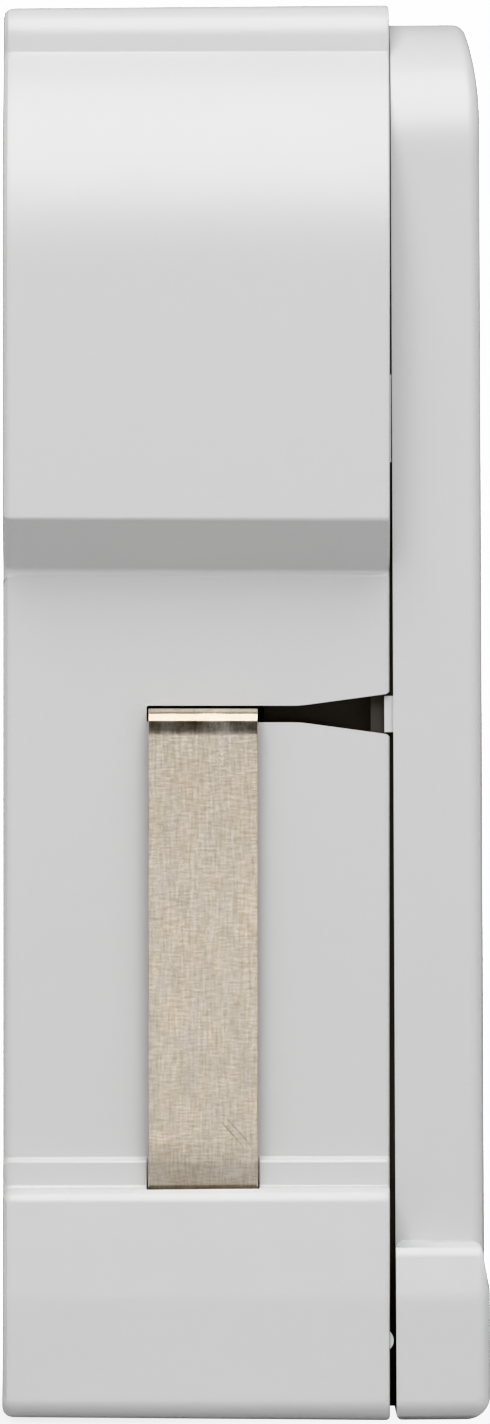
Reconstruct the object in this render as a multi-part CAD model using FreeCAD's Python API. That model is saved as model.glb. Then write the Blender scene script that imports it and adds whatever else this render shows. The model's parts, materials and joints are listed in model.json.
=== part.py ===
import FreeCAD, Part
import math
import os

# Door contact sensor with a sprung side leaf.  Millimetres, +Z up.
# The origin is the centre of the flat back face.  The back face is the plane Y = 0,
# the front cover faces -Y, and the sprung leaf is on the -X side.

Vector = FreeCAD.Vector

# ---- driving dimensions -------------------------------------------------------------

HALF_HEIGHT = 35.36          # back outline; the draft adds a little at the rim
HALF_WIDTH = 17.0            # over the upper and lower side blocks
FLOOR_X = 14.4               # side recess floor, from the middle plane
RIM_Y = -19.4                # parting plane of the rear housing
DRAFT = 0.15                 # outward growth of the housing from back to rim
WALL = 1.6
BACK_WALL = 1.8
BACK_ROUND = 0.5

COVER_TOP = 34.6
COVER_FRONT_Y = -23.9
COVER_BLOCK_Y = -24.15       # the lower block stands a little further forward
COVER_SIDE_X = 14.5
COVER_GAP = 0.03             # clearance at the cover's pivot edge
COVER_AJAR_DEG = 0.25        # the cover rests a little open at its lower end
DOME_RADIUS = 16.8

RING_X = 12.6                # outer half width of the inner chassis ring
RING_TOP = 32.2
RING_BOTTOM = -33.2
RING_WALL = 1.0
RING_FRONT_Y = -18.9
TONGUE_X = 13.9              # black tongue that bridges the parting gap
TONGUE_TOP = 34.0
TONGUE_BOTTOM = -34.9
TONGUE_FRONT_Y = -20.1
CHASSIS_FLOOR_Y = (-2.1, -3.1)

LEAF_Y = (-12.8, -7.3)       # width of the leaf
LEAF_MID_Y = -10.05
LEAF_THICK = 0.25
LEAF_FACE_X = 15.225         # middle of the leaf's thickness, from the middle plane
LEAF_BEND_RADIUS = 0.675
PIN_Z = -14.0
PIN_RADIUS = 1.05
PIN_COLLAR_RADIUS = 1.7
LEAF_PEG_RADIUS = 0.5
SWITCH_X = (-10.6, -4.1)
SWITCH_Y = (-13.0, -7.2)
SWITCH_Z = (-20.4, -7.6)
BUTTON_TOP_X = -11.25
BUTTON_HALF_Y = 1.45
BUTTON_HALF_Z = 0.85

BOARD_Y = (-13.1, -14.1)
BOARD_X = 11.3
BOARD_TOP = 30.9
CELL_X = 4.7
CELL_Y = -10.0
CELL_RADIUS = 7.8
CELL_Z = (-30.6, -3.6)
CELL_CAP_HEIGHT = 0.79

WALL_SCREW_X = -7.8
WALL_SCREW_Z = 24.8
WALL_SCREW_HOLE = 3.6
SCREW_ACCESS = 7.0
BOARD_POSTS = [(8.9, 27.6), (8.9, 2.0), (-8.9, 6.0)]
CHASSIS_BOSSES = [(2.5, 26.5), (-2.0, 2.2), (-8.4, -30.2)]
BOSS_HEAD_SEAT_Y = -6.6      # where the chassis screws' heads sit
LIGHT_PIPE = (0.0, 27.0)
LIGHT_PIPE_RADIUS = 1.5
PAIR_SWITCH = (7.0, 8.6)
PAIR_SWITCH_HEIGHT = 1.8
PAIR_BUTTON_RADIUS = 1.15
RADIO_BOARD_THICK = 0.8

SLOT_HALF = 0.41             # leaf slot: half its height where it is parallel
SLOT_MOUTH_HALF = 1.0        # and at its flared mouth
SLOT_MID_Z = -0.17
CLAMP_SCREW_X = -8.7
LEAF_SEAT_X = (-12.3, -7.2)
LEAF_PEG_X = -11.5
SWITCH_PEG_X = -8.6
SWITCH_PEG_OFFSET = 3.25     # along Z, each way from the pin
TERMINAL_Z = (-19.0, PIN_Z, -9.0)

CUT_PAST = 1.0               # how far a cut runs past the face that it opens
SUNK = 0.2                   # how far a rib or boss is let into what it grows from
SLIDE_GAP = 0.1              # clearance round what is slid or dropped into place

# ---- outline helpers ----------------------------------------------------------------


def in_plane(plane, u, v, level):
    """A point of a plane drawing: XZ at a level of Y, YZ at X, or XY at Z."""
    if plane == "XZ":
        return Vector(u, level, v)
    if plane == "YZ":
        return Vector(level, u, v)
    return Vector(u, v, level)


def rounded_wire(corners, level, plane="XZ", grow=0.0):
    """Closed outline through corners (u, v, radius), grown outwards by grow."""
    count = len(corners)
    points = [Vector(c[0], c[1], 0.0) for c in corners]
    area = sum(points[i - 1].x * points[i].y - points[i].x * points[i - 1].y for i in range(count))
    sense = 1.0 if area > 0 else -1.0
    ahead = [(points[(i + 1) % count] - points[i]).normalize() for i in range(count)]
    edges = []
    start = None
    first = None
    for i in range(count):
        before = ahead[i - 1]
        after = ahead[i]
        out_u = sense * (before.y + after.y)
        out_v = -sense * (before.x + after.x)
        scale = grow / (1.0 + before.x * after.x + before.y * after.y)
        corner_u = points[i].x + out_u * scale
        corner_v = points[i].y + out_v * scale
        cross = before.x * after.y - before.y * after.x
        turn = math.atan2(abs(cross), before.x * after.x + before.y * after.y)
        radius = corners[i][2]
        if radius > 0.0:
            bulge = grow if cross * sense > 0 else -grow
            radius = max(radius + bulge, 0.03)
        trim = radius * math.tan(turn / 2.0)
        enter = in_plane(plane, corner_u - before.x * trim, corner_v - before.y * trim, level)
        leave = in_plane(plane, corner_u + after.x * trim, corner_v + after.y * trim, level)
        if start is None:
            first = enter
        else:
            edges.append(Part.makeLine(start, enter))
        if radius > 0.0:
            corner = in_plane(plane, corner_u, corner_v, level)
            inward = (enter + leave) * 0.5 - corner
            reach = radius / math.cos(turn / 2.0) - radius
            middle = corner + inward * (reach / inward.Length)
            edges.append(Part.Arc(enter, middle, leave).toShape())
        start = leave
    edges.append(Part.makeLine(start, first))
    return Part.Wire(edges)


def both_sides(right_half):
    """A full outline from its +X half, listed from top to bottom."""
    return right_half + [(-u, v, radius) for u, v, radius in reversed(right_half)]


def frame_corners(half_width, top, bottom, top_radius, bottom_radius):
    return both_sides([(half_width, top, top_radius), (half_width, bottom, bottom_radius)])


def prism(corners, near, far, plane="XZ", grow=0.0):
    """The outline pushed from one level of its plane to another."""
    face = Part.Face(rounded_wire(corners, near, plane, grow))
    push = in_plane(plane, 0.0, 0.0, far - near)
    return face.extrude(push)


def stacked(corners, sections):
    """Ruled skin through the same outline at several (level, grow) sections."""
    wires = [rounded_wire(corners, level, "XZ", grow) for level, grow in sections]
    return Part.makeLoft(wires, True, True)


def block(x_range, y_range, z_range):
    low = Vector(min(x_range), min(y_range), min(z_range))
    size = Vector(max(x_range), max(y_range), max(z_range)) - low
    return Part.makeBox(size.x, size.y, size.z, low)


def rod(radius, start, end, axis="Y", at=(0.0, 0.0)):
    """Cylinder along an axis; at gives the two other coordinates in order."""
    length = abs(end - start)
    low = min(start, end)
    if axis == "X":
        return Part.makeCylinder(radius, length, Vector(low, at[0], at[1]), Vector(1, 0, 0))
    if axis == "Y":
        return Part.makeCylinder(radius, length, Vector(at[0], low, at[1]), Vector(0, 1, 0))
    return Part.makeCylinder(radius, length, Vector(at[0], at[1], low), Vector(0, 0, 1))


def strip(path, thickness, near, far, plane):
    """Bent sheet strip: path corners (u, v, inner radius) give its middle line."""
    half = thickness / 2.0
    sides = ([], [])
    for i, (u, v, radius) in enumerate(path):
        before = direction(path, i - 1) if i > 0 else direction(path, 0)
        after = direction(path, i) if i < len(path) - 1 else before
        scale = half / (1.0 + before[0] * after[0] + before[1] * after[1])
        off_u = -(before[1] + after[1]) * scale
        off_v = (before[0] + after[0]) * scale
        left_turn = before[0] * after[1] - before[1] * after[0] > 0.0
        near_radius = radius if radius > 0.0 else 0.0
        far_radius = radius + thickness if radius > 0.0 else 0.0
        sides[0].append((u + off_u, v + off_v, near_radius if left_turn else far_radius))
        sides[1].append((u - off_u, v - off_v, far_radius if left_turn else near_radius))
    return prism(sides[0] + list(reversed(sides[1])), near, far, plane)


def direction(path, i):
    run_u = path[i + 1][0] - path[i][0]
    run_v = path[i + 1][1] - path[i][1]
    length = math.hypot(run_u, run_v)
    return (run_u / length, run_v / length)


def pan_screw(head_radius, head_height, shank_radius, length):
    """Cross-recess pan-head screw, head on +Z and shank along -Z."""
    head = Part.makeCylinder(head_radius, head_height, Vector(0, 0, 0), Vector(0, 0, 1))
    rim = [edge for edge in head.Edges if abs(edge.BoundBox.ZMin - head_height) < 1e-6]
    head = head.makeFillet(head_height * 0.45, rim)
    shank = Part.makeCylinder(shank_radius, length, Vector(0, 0, 0), Vector(0, 0, -1))
    recess_arm = head_radius * 0.62
    recess_half = head_radius * 0.11
    recess_depth = head_height * 0.55
    for long_x in (True, False):
        span = (-recess_arm, recess_arm) if long_x else (-recess_half, recess_half)
        other = (-recess_half, recess_half) if long_x else (-recess_arm, recess_arm)
        head = head.cut(block(span, other, (head_height - recess_depth, head_height + 1.0)))
    return head.fuse(shank)


def screw_facing_front(screw, x, y, z):
    """Place a screw with its head towards -Y."""
    placed = screw.copy()
    placed.rotate(Vector(0, 0, 0), Vector(1, 0, 0), 90.0)
    placed.translate(Vector(x, y, z))
    return placed


def one_solid(shape):
    return shape.removeSplitter()


# ---- rear housing -------------------------------------------------------------------

SHOULDER = [
    (12.4, HALF_HEIGHT, 1.5),
    (12.4, 33.05, 0.2),
    (HALF_WIDTH, 28.3, 15.2),
    (HALF_WIDTH, 9.6, 0.25),
]
FOOT = [
    (16.3, -23.95, 0.8),
    (16.9, -29.4, 4.0),
    (HALF_WIDTH, -HALF_HEIGHT, 0.9),
]
HOUSING_OUTLINE = both_sides(
    SHOULDER
    + [
        (14.1, 6.95, 0.3),
        (FLOOR_X, 6.72, 0.08),
        (FLOOR_X, -22.42, 0.08),
        (14.78, -22.62, 0.1),
        (14.78, -23.95, 0.2),
    ]
    + FOOT
)
HOUSING_CAVITY = both_sides(
    SHOULDER + [(FLOOR_X, 7.2, 1.0), (FLOOR_X, -23.95, 0.6)] + FOOT
)
RING_OUTLINE = frame_corners(RING_X, RING_TOP, RING_BOTTOM, 4.5, 1.5)
TONGUE_OUTLINE = frame_corners(TONGUE_X, TONGUE_TOP, TONGUE_BOTTOM, 6.1, 0.9)
TONGUE_BACK_Y = RIM_Y + 0.95


def housing_shell():
    rounded_back = []
    for angle in (0.0, 30.0, 60.0, 90.0):
        turn = math.radians(angle)
        inset = BACK_ROUND * (1.0 - math.sin(turn))
        level = -BACK_ROUND * (1.0 - math.cos(turn))
        rounded_back.append((level, -inset))
    edge_break = 0.18
    rim = [
        (RIM_Y + edge_break, DRAFT),
        (RIM_Y + 0.28 * edge_break, DRAFT - 0.28 * edge_break),
        (RIM_Y, DRAFT - edge_break),
    ]
    shell = stacked(HOUSING_OUTLINE, rounded_back + rim)
    flange_y = RIM_Y + 1.4
    shell = shell.cut(prism(HOUSING_CAVITY, -BACK_WALL, flange_y, grow=-WALL))
    mouth = prism(RING_OUTLINE, flange_y, RIM_Y - CUT_PAST, grow=2.0 * SLIDE_GAP)
    rebate = prism(TONGUE_OUTLINE, TONGUE_BACK_Y + 0.05, RIM_Y - CUT_PAST, grow=SLIDE_GAP)
    return shell.cut(mouth).cut(rebate)


def leaf_slot():
    """Flared slot: the leaf is slid into it from the parting plane."""
    closed_y = LEAF_Y[1] + 0.08
    flare_y = -14.9
    mouth_y = RIM_Y + 0.15
    past_y = mouth_y - 0.65
    past_half = SLOT_MOUTH_HALF + 0.55
    lower = [
        (closed_y, SLOT_MID_Z - SLOT_HALF, 0.1),
        (flare_y, SLOT_MID_Z - SLOT_HALF, 5.0),
        (mouth_y, SLOT_MID_Z - SLOT_MOUTH_HALF, 0.3),
        (past_y, SLOT_MID_Z - past_half, 0.0),
    ]
    upper = [(y, 2.0 * SLOT_MID_Z - z, radius) for y, z, radius in reversed(lower)]
    return prism(lower + upper, -16.5, -RING_X, "YZ")


def rim_marks():
    """Raised contact land on the rim and the round gate vestige near the foot."""
    land_z = (12.5, 16.8)
    proud = 0.07
    marks = [block((-14.45, -14.02), (RIM_Y + 0.3, RIM_Y - proud), land_z)]
    for z in (land_z[0] + 0.05, land_z[1] - 0.05):
        marks.append(block((-14.5, -14.1), (RIM_Y + SUNK, RIM_Y - proud - 0.01), (z - 0.09, z + 0.09)))
    vestige_radius = 0.62
    vestige_z = -31.5
    vestige_y = RIM_Y + vestige_radius - 0.19
    marks.append(rod(vestige_radius, -16.75, -16.2, "X", (vestige_y, vestige_z)))
    return marks


def make_rear_housing():
    body = housing_shell()
    boss_radius = 1.8
    boss_bore = 0.72
    boss_top_y = -5.5
    for x, z in CHASSIS_BOSSES:
        body = body.fuse(rod(boss_radius, SUNK - BACK_WALL, boss_top_y, "Y", (x, z)))
    for mark in rim_marks():
        body = body.fuse(mark)
    for x, z in CHASSIS_BOSSES:
        body = body.cut(rod(boss_bore, -BACK_WALL - 0.3, boss_top_y - 0.5, "Y", (x, z)))
    body = body.cut(leaf_slot())
    pocket_y = (LEAF_Y[0] - 0.08, LEAF_Y[1] + 0.08)
    body = body.cut(block((-15.95, -14.3), pocket_y, (-25.7, -23.6)))
    body = body.cut(block((-15.95, -FLOOR_X - 0.12), pocket_y, (-23.7, -22.2)))
    body = body.cut(rod(PIN_RADIUS + 0.06, -15.0, -12.0, "X", (LEAF_MID_Y, PIN_Z)))
    for z in (WALL_SCREW_Z, -WALL_SCREW_Z):
        body = body.cut(rod(WALL_SCREW_HOLE / 2.0, CUT_PAST, -4.0, "Y", (WALL_SCREW_X, z)))
    return one_solid(body)


# ---- front cover --------------------------------------------------------------------

COVER_WALL = 1.4
COVER_FOOT_BOTTOM = -35.5
COVER_BODY = frame_corners(COVER_SIDE_X, COVER_TOP, -34.5, 6.6, 0.5)
COVER_FOOT = both_sides(
    [
        (16.2, -26.55, 1.0),
        (16.75, -29.4, 4.0),
        (16.85, COVER_FOOT_BOTTOM, 1.0),
    ]
)
COVER_BACK_Y = RIM_Y - COVER_GAP
PIVOT = Vector(0.0, RIM_Y, COVER_TOP + 0.02)


def along_x(corners):
    """A profile in YZ pushed right across the width."""
    return prism(corners, -20.0, 20.0, "YZ")


def body_profile():
    """Cover body seen along X: domed towards the top, then a flat front."""
    dome_y = COVER_FRONT_Y + DOME_RADIUS
    dome_z = 29.5
    depth = (COVER_BACK_Y, COVER_FRONT_Y)
    dome = rod(DOME_RADIUS, -20.0, 20.0, "X", (dome_y, dome_z))
    flat = block((-20.0, 20.0), depth, (-HALF_HEIGHT - CUT_PAST, dome_z))
    top = block((-20.0, 20.0), depth, (dome_z, COVER_TOP + CUT_PAST))
    return flat.fuse(top.common(dome)).removeSplitter()


def front_edges(shape, forward_of):
    """Edges round the outer front of a moulding, without the seams in its front face."""
    found = []
    for edge in shape.Edges:
        middle = edge.valueAt((edge.FirstParameter + edge.LastParameter) / 2.0)
        outer = abs(middle.x) > 1.0 or middle.z > 34.0 or middle.z < -34.0
        if edge.BoundBox.YMax < forward_of and outer:
            found.append(edge)
    return found


def cover_body():
    solid = prism(COVER_BODY, COVER_BACK_Y, COVER_FRONT_Y - 2.0).common(body_profile())
    edge_round = 0.7
    return solid.makeFillet(edge_round, front_edges(solid, COVER_FRONT_Y + 1.4))


def cover_foot():
    """Lower block of the cover, flush with the housing's foot and a little proud."""
    solid = prism(COVER_FOOT, COVER_BACK_Y, COVER_BLOCK_Y)
    solid = solid.makeFillet(0.65, front_edges(solid, COVER_BLOCK_Y + 0.01))
    hair = 0.002                 # keeps the profile's faces off the foot's own
    top_z = -26.55 - hair
    bottom_z = COVER_FOOT_BOTTOM - hair
    front_y = COVER_BLOCK_Y - hair
    back_y = COVER_BACK_Y + hair
    profile = [
        (back_y, top_z, 0.4),
        (back_y, bottom_z, 0.3),
        (front_y, bottom_z, 1.3),
        (front_y, -29.0, 2.0),
        (COVER_FRONT_Y + 0.2, top_z, 0.6),
    ]
    return solid.common(along_x(profile))


def cover_shell():
    solid = cover_body().fuse(cover_foot())
    lip = prism(TONGUE_OUTLINE, COVER_BACK_Y + CUT_PAST, TONGUE_FRONT_Y - 0.35, grow=0.15)
    hollow_corners = frame_corners(13.0, 33.1, -33.9, 5.1, 1.2)
    hollow = prism(hollow_corners, COVER_BACK_Y + CUT_PAST, COVER_FRONT_Y + COVER_WALL)
    return solid.cut(lip).cut(hollow)


def cover_inner_features():
    inner_y = COVER_FRONT_Y + COVER_WALL - 0.1
    features = []
    for side in (-1, 1):
        pivot_tab = block((side * 5.0, side * 9.0), (inner_y, -17.7), (30.0, 30.9))
        long_rib = block((side * 11.2, side * 12.0), (inner_y, -20.6), (-30.0, 28.0))
        features.extend([pivot_tab, long_rib])
    snap_arm = block((-4.0, 4.0), (inner_y, -17.3), (-32.0, -31.2))
    snap_catch = block((-3.5, 3.5), (-17.9, -17.4), (-32.1, -31.6))
    slot_shutter = block((-14.3, -14.02), (-21.0, RIM_Y + 0.42), (-1.08, 0.74))
    features.extend([snap_arm, snap_catch, slot_shutter])
    rib_half = 0.4
    for z in (14.0, -8.0):
        features.append(block((-11.4, 11.4), (inner_y, -22.0), (z - rib_half, z + rib_half)))
    return features


def ajar(shape):
    """The cover and what it carries, turned about the pivot edge to its rest place."""
    turned = shape.copy()
    turned.rotate(PIVOT, Vector(-1, 0, 0), COVER_AJAR_DEG)
    return turned


def make_front_cover():
    body = cover_shell()
    for feature in cover_inner_features():
        body = body.fuse(feature)
    collar_y = -21.2
    body = body.fuse(rod(3.0, COVER_FRONT_Y + COVER_WALL - 0.1, collar_y, "Y", LIGHT_PIPE))
    body = body.cut(rod(LIGHT_PIPE_RADIUS + 0.05, -26.0, collar_y + CUT_PAST, "Y", LIGHT_PIPE))
    body = body.cut(rod(LIGHT_PIPE_RADIUS + 0.6, -22.2, collar_y + CUT_PAST, "Y", LIGHT_PIPE))
    return ajar(one_solid(body))


def make_light_pipe():
    front_y = COVER_FRONT_Y + 0.02
    stem = rod(LIGHT_PIPE_RADIUS, front_y, -16.4, "Y", LIGHT_PIPE)
    tip = [edge for edge in stem.Edges if edge.BoundBox.YMax < front_y + 0.1]
    stem = stem.makeFillet(0.25, tip)
    flange = rod(LIGHT_PIPE_RADIUS + 0.5, -22.1, -21.5, "Y", LIGHT_PIPE)
    return ajar(one_solid(stem.fuse(flange)))


# ---- sprung leaf and push pin -------------------------------------------------------


def make_actuator_leaf():
    """Tail in the slot, a tight bend, the long flat, and a toe tucked into its pocket."""
    tail_end_x = -10.6
    path = [
        (tail_end_x, 0.0, 0.0),
        (-LEAF_FACE_X, 0.0, LEAF_BEND_RADIUS - LEAF_THICK / 2.0),
        (-LEAF_FACE_X, -21.6, 8.0),
        (-LEAF_FACE_X + 0.03, -22.7, 3.0),
        (-LEAF_FACE_X + 0.28, -24.9, 0.0),
    ]
    leaf = strip(path, LEAF_THICK, LEAF_Y[0], LEAF_Y[1], "XZ")
    peg_hole = rod(LEAF_PEG_RADIUS + 0.2, -CUT_PAST, CUT_PAST, "Z", (LEAF_PEG_X, LEAF_MID_Y))
    return one_solid(leaf.cut(peg_hole))


def make_push_pin():
    centre = (LEAF_MID_Y, PIN_Z)
    pin = rod(PIN_RADIUS, -15.05, -11.35, "X", centre)
    ends = [edge for edge in pin.Edges if abs(edge.BoundBox.XMax - edge.BoundBox.XMin) < 1e-6]
    pin = pin.makeFillet(0.3, ends)
    collar = rod(PIN_COLLAR_RADIUS, -12.65, -12.05, "X", centre)
    return one_solid(pin.fuse(collar))


# ---- inner chassis ------------------------------------------------------------------


def chassis_ring():
    """Tray with an upright wall, and the flange and tongue that close the parting gap."""
    ring = prism(RING_OUTLINE, CHASSIS_FLOOR_Y[0], RING_FRONT_Y)
    ring = ring.cut(prism(RING_OUTLINE, CHASSIS_FLOOR_Y[1], RING_FRONT_Y - CUT_PAST, grow=-RING_WALL))
    flange = prism(TONGUE_OUTLINE, TONGUE_BACK_Y, TONGUE_FRONT_Y)
    flange = flange.cut(prism(TONGUE_OUTLINE, RING_FRONT_Y, TONGUE_FRONT_Y - CUT_PAST, grow=-0.8))
    flange = flange.cut(prism(RING_OUTLINE, -17.4, TONGUE_FRONT_Y - CUT_PAST, grow=-RING_WALL))
    return ring.fuse(flange)


def battery_bay_parts():
    """Partition above the cell and the two cheeks that it lies between."""
    right_x = RING_X - 0.8
    cheek_half = 0.6
    parts = [block((-2.9, right_x), (CHASSIS_FLOOR_Y[1] + SLIDE_GAP, -14.0), (-2.4, -1.4))]
    for z in (-24.0, -10.5):
        cheek_z = (z - cheek_half, z + cheek_half)
        parts.append(block((-3.95, right_x), (CHASSIS_FLOOR_Y[0], -8.2), cheek_z))
    return parts


def leaf_seat_parts():
    """Ledge under the leaf's tail, and a step that the clamp sits on."""
    seat_y = (LEAF_Y[0] - SLIDE_GAP, LEAF_Y[1] + SLIDE_GAP)
    seat_z = (-3.4, -0.25)
    leg_y = (CHASSIS_FLOOR_Y[1] + SUNK, seat_y[0])
    return [
        block(LEAF_SEAT_X, seat_y, seat_z),
        block((LEAF_SEAT_X[0] + 2.0, LEAF_SEAT_X[1]), seat_y, (seat_z[0], 0.25)),
        block((LEAF_SEAT_X[1] - 1.0, LEAF_SEAT_X[1]), leg_y, seat_z),
    ]


def switch_nest_parts():
    """Plinth behind the switch and the two pegs that locate it."""
    plinth_x = (SWITCH_X[0] + 0.4, SWITCH_X[1] - 0.5)
    plinth_z = (SWITCH_Z[0] + 0.2, SWITCH_Z[1] - 0.2)
    plinth_y = (CHASSIS_FLOOR_Y[1] + SUNK, SWITCH_Y[1] + 0.05)
    parts = [block(plinth_x, plinth_y, plinth_z)]
    for z in (PIN_Z - SWITCH_PEG_OFFSET, PIN_Z + SWITCH_PEG_OFFSET):
        parts.append(rod(0.95, SWITCH_Y[1] + SUNK, SWITCH_Y[0] + 0.3, "Y", (SWITCH_PEG_X, z)))
    return parts


def chassis_openings():
    """Everything that is cut away once the ribs and bosses are on."""
    post_pilot = 0.8
    boss_shank = 1.1
    boss_sleeve = 1.9
    cuts = [rod(post_pilot, -8.0, -14.0, "Y", post) for post in BOARD_POSTS]
    for boss in CHASSIS_BOSSES:
        cuts.append(rod(boss_sleeve, -CUT_PAST, -5.6, "Y", boss))
        cuts.append(rod(boss_shank, -CUT_PAST, -8.0, "Y", boss))
    cuts.append(block((-3.4, 11.4), (-CUT_PAST, -3.4), (-31.9, -3.2)))
    cuts.append(block((-9.2, -5.6), (-3.2, -6.4), (-19.2, -8.8)))
    for z in (WALL_SCREW_Z, -WALL_SCREW_Z):
        cuts.append(rod(SCREW_ACCESS / 2.0, -CUT_PAST, -9.0, "Y", (WALL_SCREW_X, z)))
    tail_y = (LEAF_Y[0] - 0.3, LEAF_Y[1] + 0.3)
    cuts.append(block((-12.4, -11.0), tail_y, (-0.25, 1.2)))
    cuts.append(block((-13.0, LEAF_SEAT_X[0]), tail_y, (-0.6, 1.2)))
    cuts.append(rod(CELL_RADIUS + 0.15, -31.9, -3.2, "Z", (CELL_X, CELL_Y)))
    cuts.append(rod(PIN_COLLAR_RADIUS + 0.4, -14.0, -10.9, "X", (LEAF_MID_Y, PIN_Z)))
    cuts.append(rod(0.65, -3.0, CUT_PAST, "Z", (CLAMP_SCREW_X, LEAF_MID_Y)))
    cuts.append(block((-4.4, 4.4), (-16.9, -18.3), (-33.5, -32.0)))
    return cuts


def make_inner_chassis():
    body = chassis_ring()
    post_radius = 2.0
    boss_radius = 2.7
    post_y = (CHASSIS_FLOOR_Y[1] + SUNK, BOARD_Y[0] + 0.02)
    for part in battery_bay_parts() + leaf_seat_parts() + switch_nest_parts():
        body = body.fuse(part)
    for post in BOARD_POSTS:
        body = body.fuse(rod(post_radius, post_y[0], post_y[1], "Y", post))
    for boss in CHASSIS_BOSSES:
        body = body.fuse(rod(boss_radius, CHASSIS_FLOOR_Y[0], BOSS_HEAD_SEAT_Y, "Y", boss))
    for cut in chassis_openings():
        body = body.cut(cut)
    body = body.fuse(rod(LEAF_PEG_RADIUS, -0.5, 0.2, "Z", (LEAF_PEG_X, LEAF_MID_Y)))
    return one_solid(body)


def make_leaf_clamp():
    underside = 0.26
    thickness = 0.59
    plate_y = (LEAF_Y[0] + 0.2, LEAF_Y[1] - 0.2)
    plate = block((LEAF_SEAT_X[0], LEAF_SEAT_X[1] - 0.3), plate_y, (underside, underside + thickness))
    return plate.cut(rod(0.95, 0.0, CUT_PAST, "Z", (CLAMP_SCREW_X, LEAF_MID_Y)))


def make_clamp_screw():
    screw = pan_screw(1.5, 0.9, 0.62, 3.4)
    screw.translate(Vector(CLAMP_SCREW_X, LEAF_MID_Y, 0.86))
    return screw


def make_chassis_screws():
    screw = pan_screw(1.9, 1.1, 0.7, 4.4)
    return [screw_facing_front(screw, x, BOSS_HEAD_SEAT_Y - 0.02, z) for x, z in CHASSIS_BOSSES]


# ---- snap switch --------------------------------------------------------------------


def make_switch_case():
    case = block(SWITCH_X, SWITCH_Y, SWITCH_Z)
    case = case.makeFillet(0.3, [e for e in case.Edges if e.BoundBox.YLength > 5.0])
    for z in (PIN_Z - SWITCH_PEG_OFFSET, PIN_Z + SWITCH_PEG_OFFSET):
        case = case.cut(rod(1.05, SWITCH_Y[0] - CUT_PAST, SWITCH_Y[1] + CUT_PAST, "Y", (SWITCH_PEG_X, z)))
    well_y = (LEAF_MID_Y - BUTTON_HALF_Y - 0.15, LEAF_MID_Y + BUTTON_HALF_Y + 0.15)
    well_z = (PIN_Z - BUTTON_HALF_Z - 0.15, PIN_Z + BUTTON_HALF_Z + 0.15)
    case = case.cut(block((-11.0, -9.3), well_y, well_z))
    seam = block((SWITCH_X[0] - CUT_PAST, SWITCH_X[0] + 0.12), (-9.15, -9.0), SWITCH_Z)
    return one_solid(case.cut(seam))


def make_switch_button():
    across = (LEAF_MID_Y - BUTTON_HALF_Y, LEAF_MID_Y + BUTTON_HALF_Y)
    along = (PIN_Z - BUTTON_HALF_Z, PIN_Z + BUTTON_HALF_Z)
    button = block((BUTTON_TOP_X, -9.9), across, along)
    top = [e for e in button.Edges if abs(e.BoundBox.XMax - BUTTON_TOP_X) < 1e-6]
    return button.makeFillet(0.35, top)


def make_switch_terminals():
    blade_x = -3.75
    half_width = 0.45
    path = [(-4.09, -10.0, 0.0), (blade_x, -10.0, 0.15), (blade_x, -15.1, 0.0)]
    return [strip(path, 0.3, z - half_width, z + half_width, "XY") for z in TERMINAL_Z]


# ---- circuit board and what it carries ----------------------------------------------


def make_circuit_board():
    """L-shaped board: full width above the cell, a narrow leg beside it."""
    step_x = -3.0
    step_z = -0.9
    foot_z = -21.6
    corners = [
        (BOARD_X, BOARD_TOP, 3.3),
        (BOARD_X, step_z, 0.6),
        (step_x, step_z, 0.6),
        (step_x, foot_z, 0.5),
        (-BOARD_X, foot_z, 0.5),
        (-BOARD_X, BOARD_TOP, 3.3),
    ]
    through = (BOARD_Y[0] + CUT_PAST, BOARD_Y[1] - CUT_PAST)
    access_x = (-BOARD_X - CUT_PAST, WALL_SCREW_X)
    access = SCREW_ACCESS / 2.0 + SLIDE_GAP
    board = prism(corners, BOARD_Y[0], BOARD_Y[1])
    for post in BOARD_POSTS:
        board = board.cut(rod(1.1, through[0], through[1], "Y", post))
    board = board.cut(rod(access, through[0], through[1], "Y", (WALL_SCREW_X, WALL_SCREW_Z)))
    board = board.cut(block(access_x, through, (WALL_SCREW_Z - access, WALL_SCREW_Z + access)))
    for z in TERMINAL_Z:
        board = board.cut(block((-4.05, -3.45), through, (z - 0.6, z + 0.6)))
    return one_solid(board.cut(block((-4.5, -3.8), through, (foot_z - 0.4, foot_z + 1.0))))


def make_board_screws():
    screw = pan_screw(1.85, 1.2, 0.78, 5.0)
    return [screw_facing_front(screw, x, BOARD_Y[1] - 0.01, z) for x, z in BOARD_POSTS]


def on_board(x, z, width, height, depth, lift=0.0):
    """Block standing on the board's front face, centred at x, z."""
    back = BOARD_Y[1] - lift
    x_range = (x - width / 2.0, x + width / 2.0)
    z_range = (z - height / 2.0, z + height / 2.0)
    return block(x_range, (back - depth, back), z_range)


def make_radio_board():
    """Castellated module board: half-round notches down both sides."""
    middle_x = 1.8
    width = 11.6
    pitch = 1.25
    board = on_board(middle_x, 18.6, width, 11.4, RADIO_BOARD_THICK)
    for i in range(8):
        z = 14.2 + i * pitch
        for x in (middle_x - width / 2.0, middle_x + width / 2.0):
            board = board.cut(rod(0.3, BOARD_Y[1] + 0.1, -15.0, "Y", (x, z)))
    return board


def make_radio_shield():
    height = 1.7
    front_y = BOARD_Y[1] - RADIO_BOARD_THICK - height
    pitch = 1.7
    shield = on_board(1.8, 17.4, 9.4, 7.6, height, RADIO_BOARD_THICK)
    upright = [e for e in shield.Edges if e.BoundBox.YLength > height - 0.2]
    shield = shield.makeFillet(0.5, upright)
    for i in range(4):
        for j in range(3):
            dimple = (-0.75 + i * pitch, 15.7 + j * pitch)
            shield = shield.cut(rod(0.35, front_y + 0.2, front_y - 0.4, "Y", dimple))
    return shield


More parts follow.
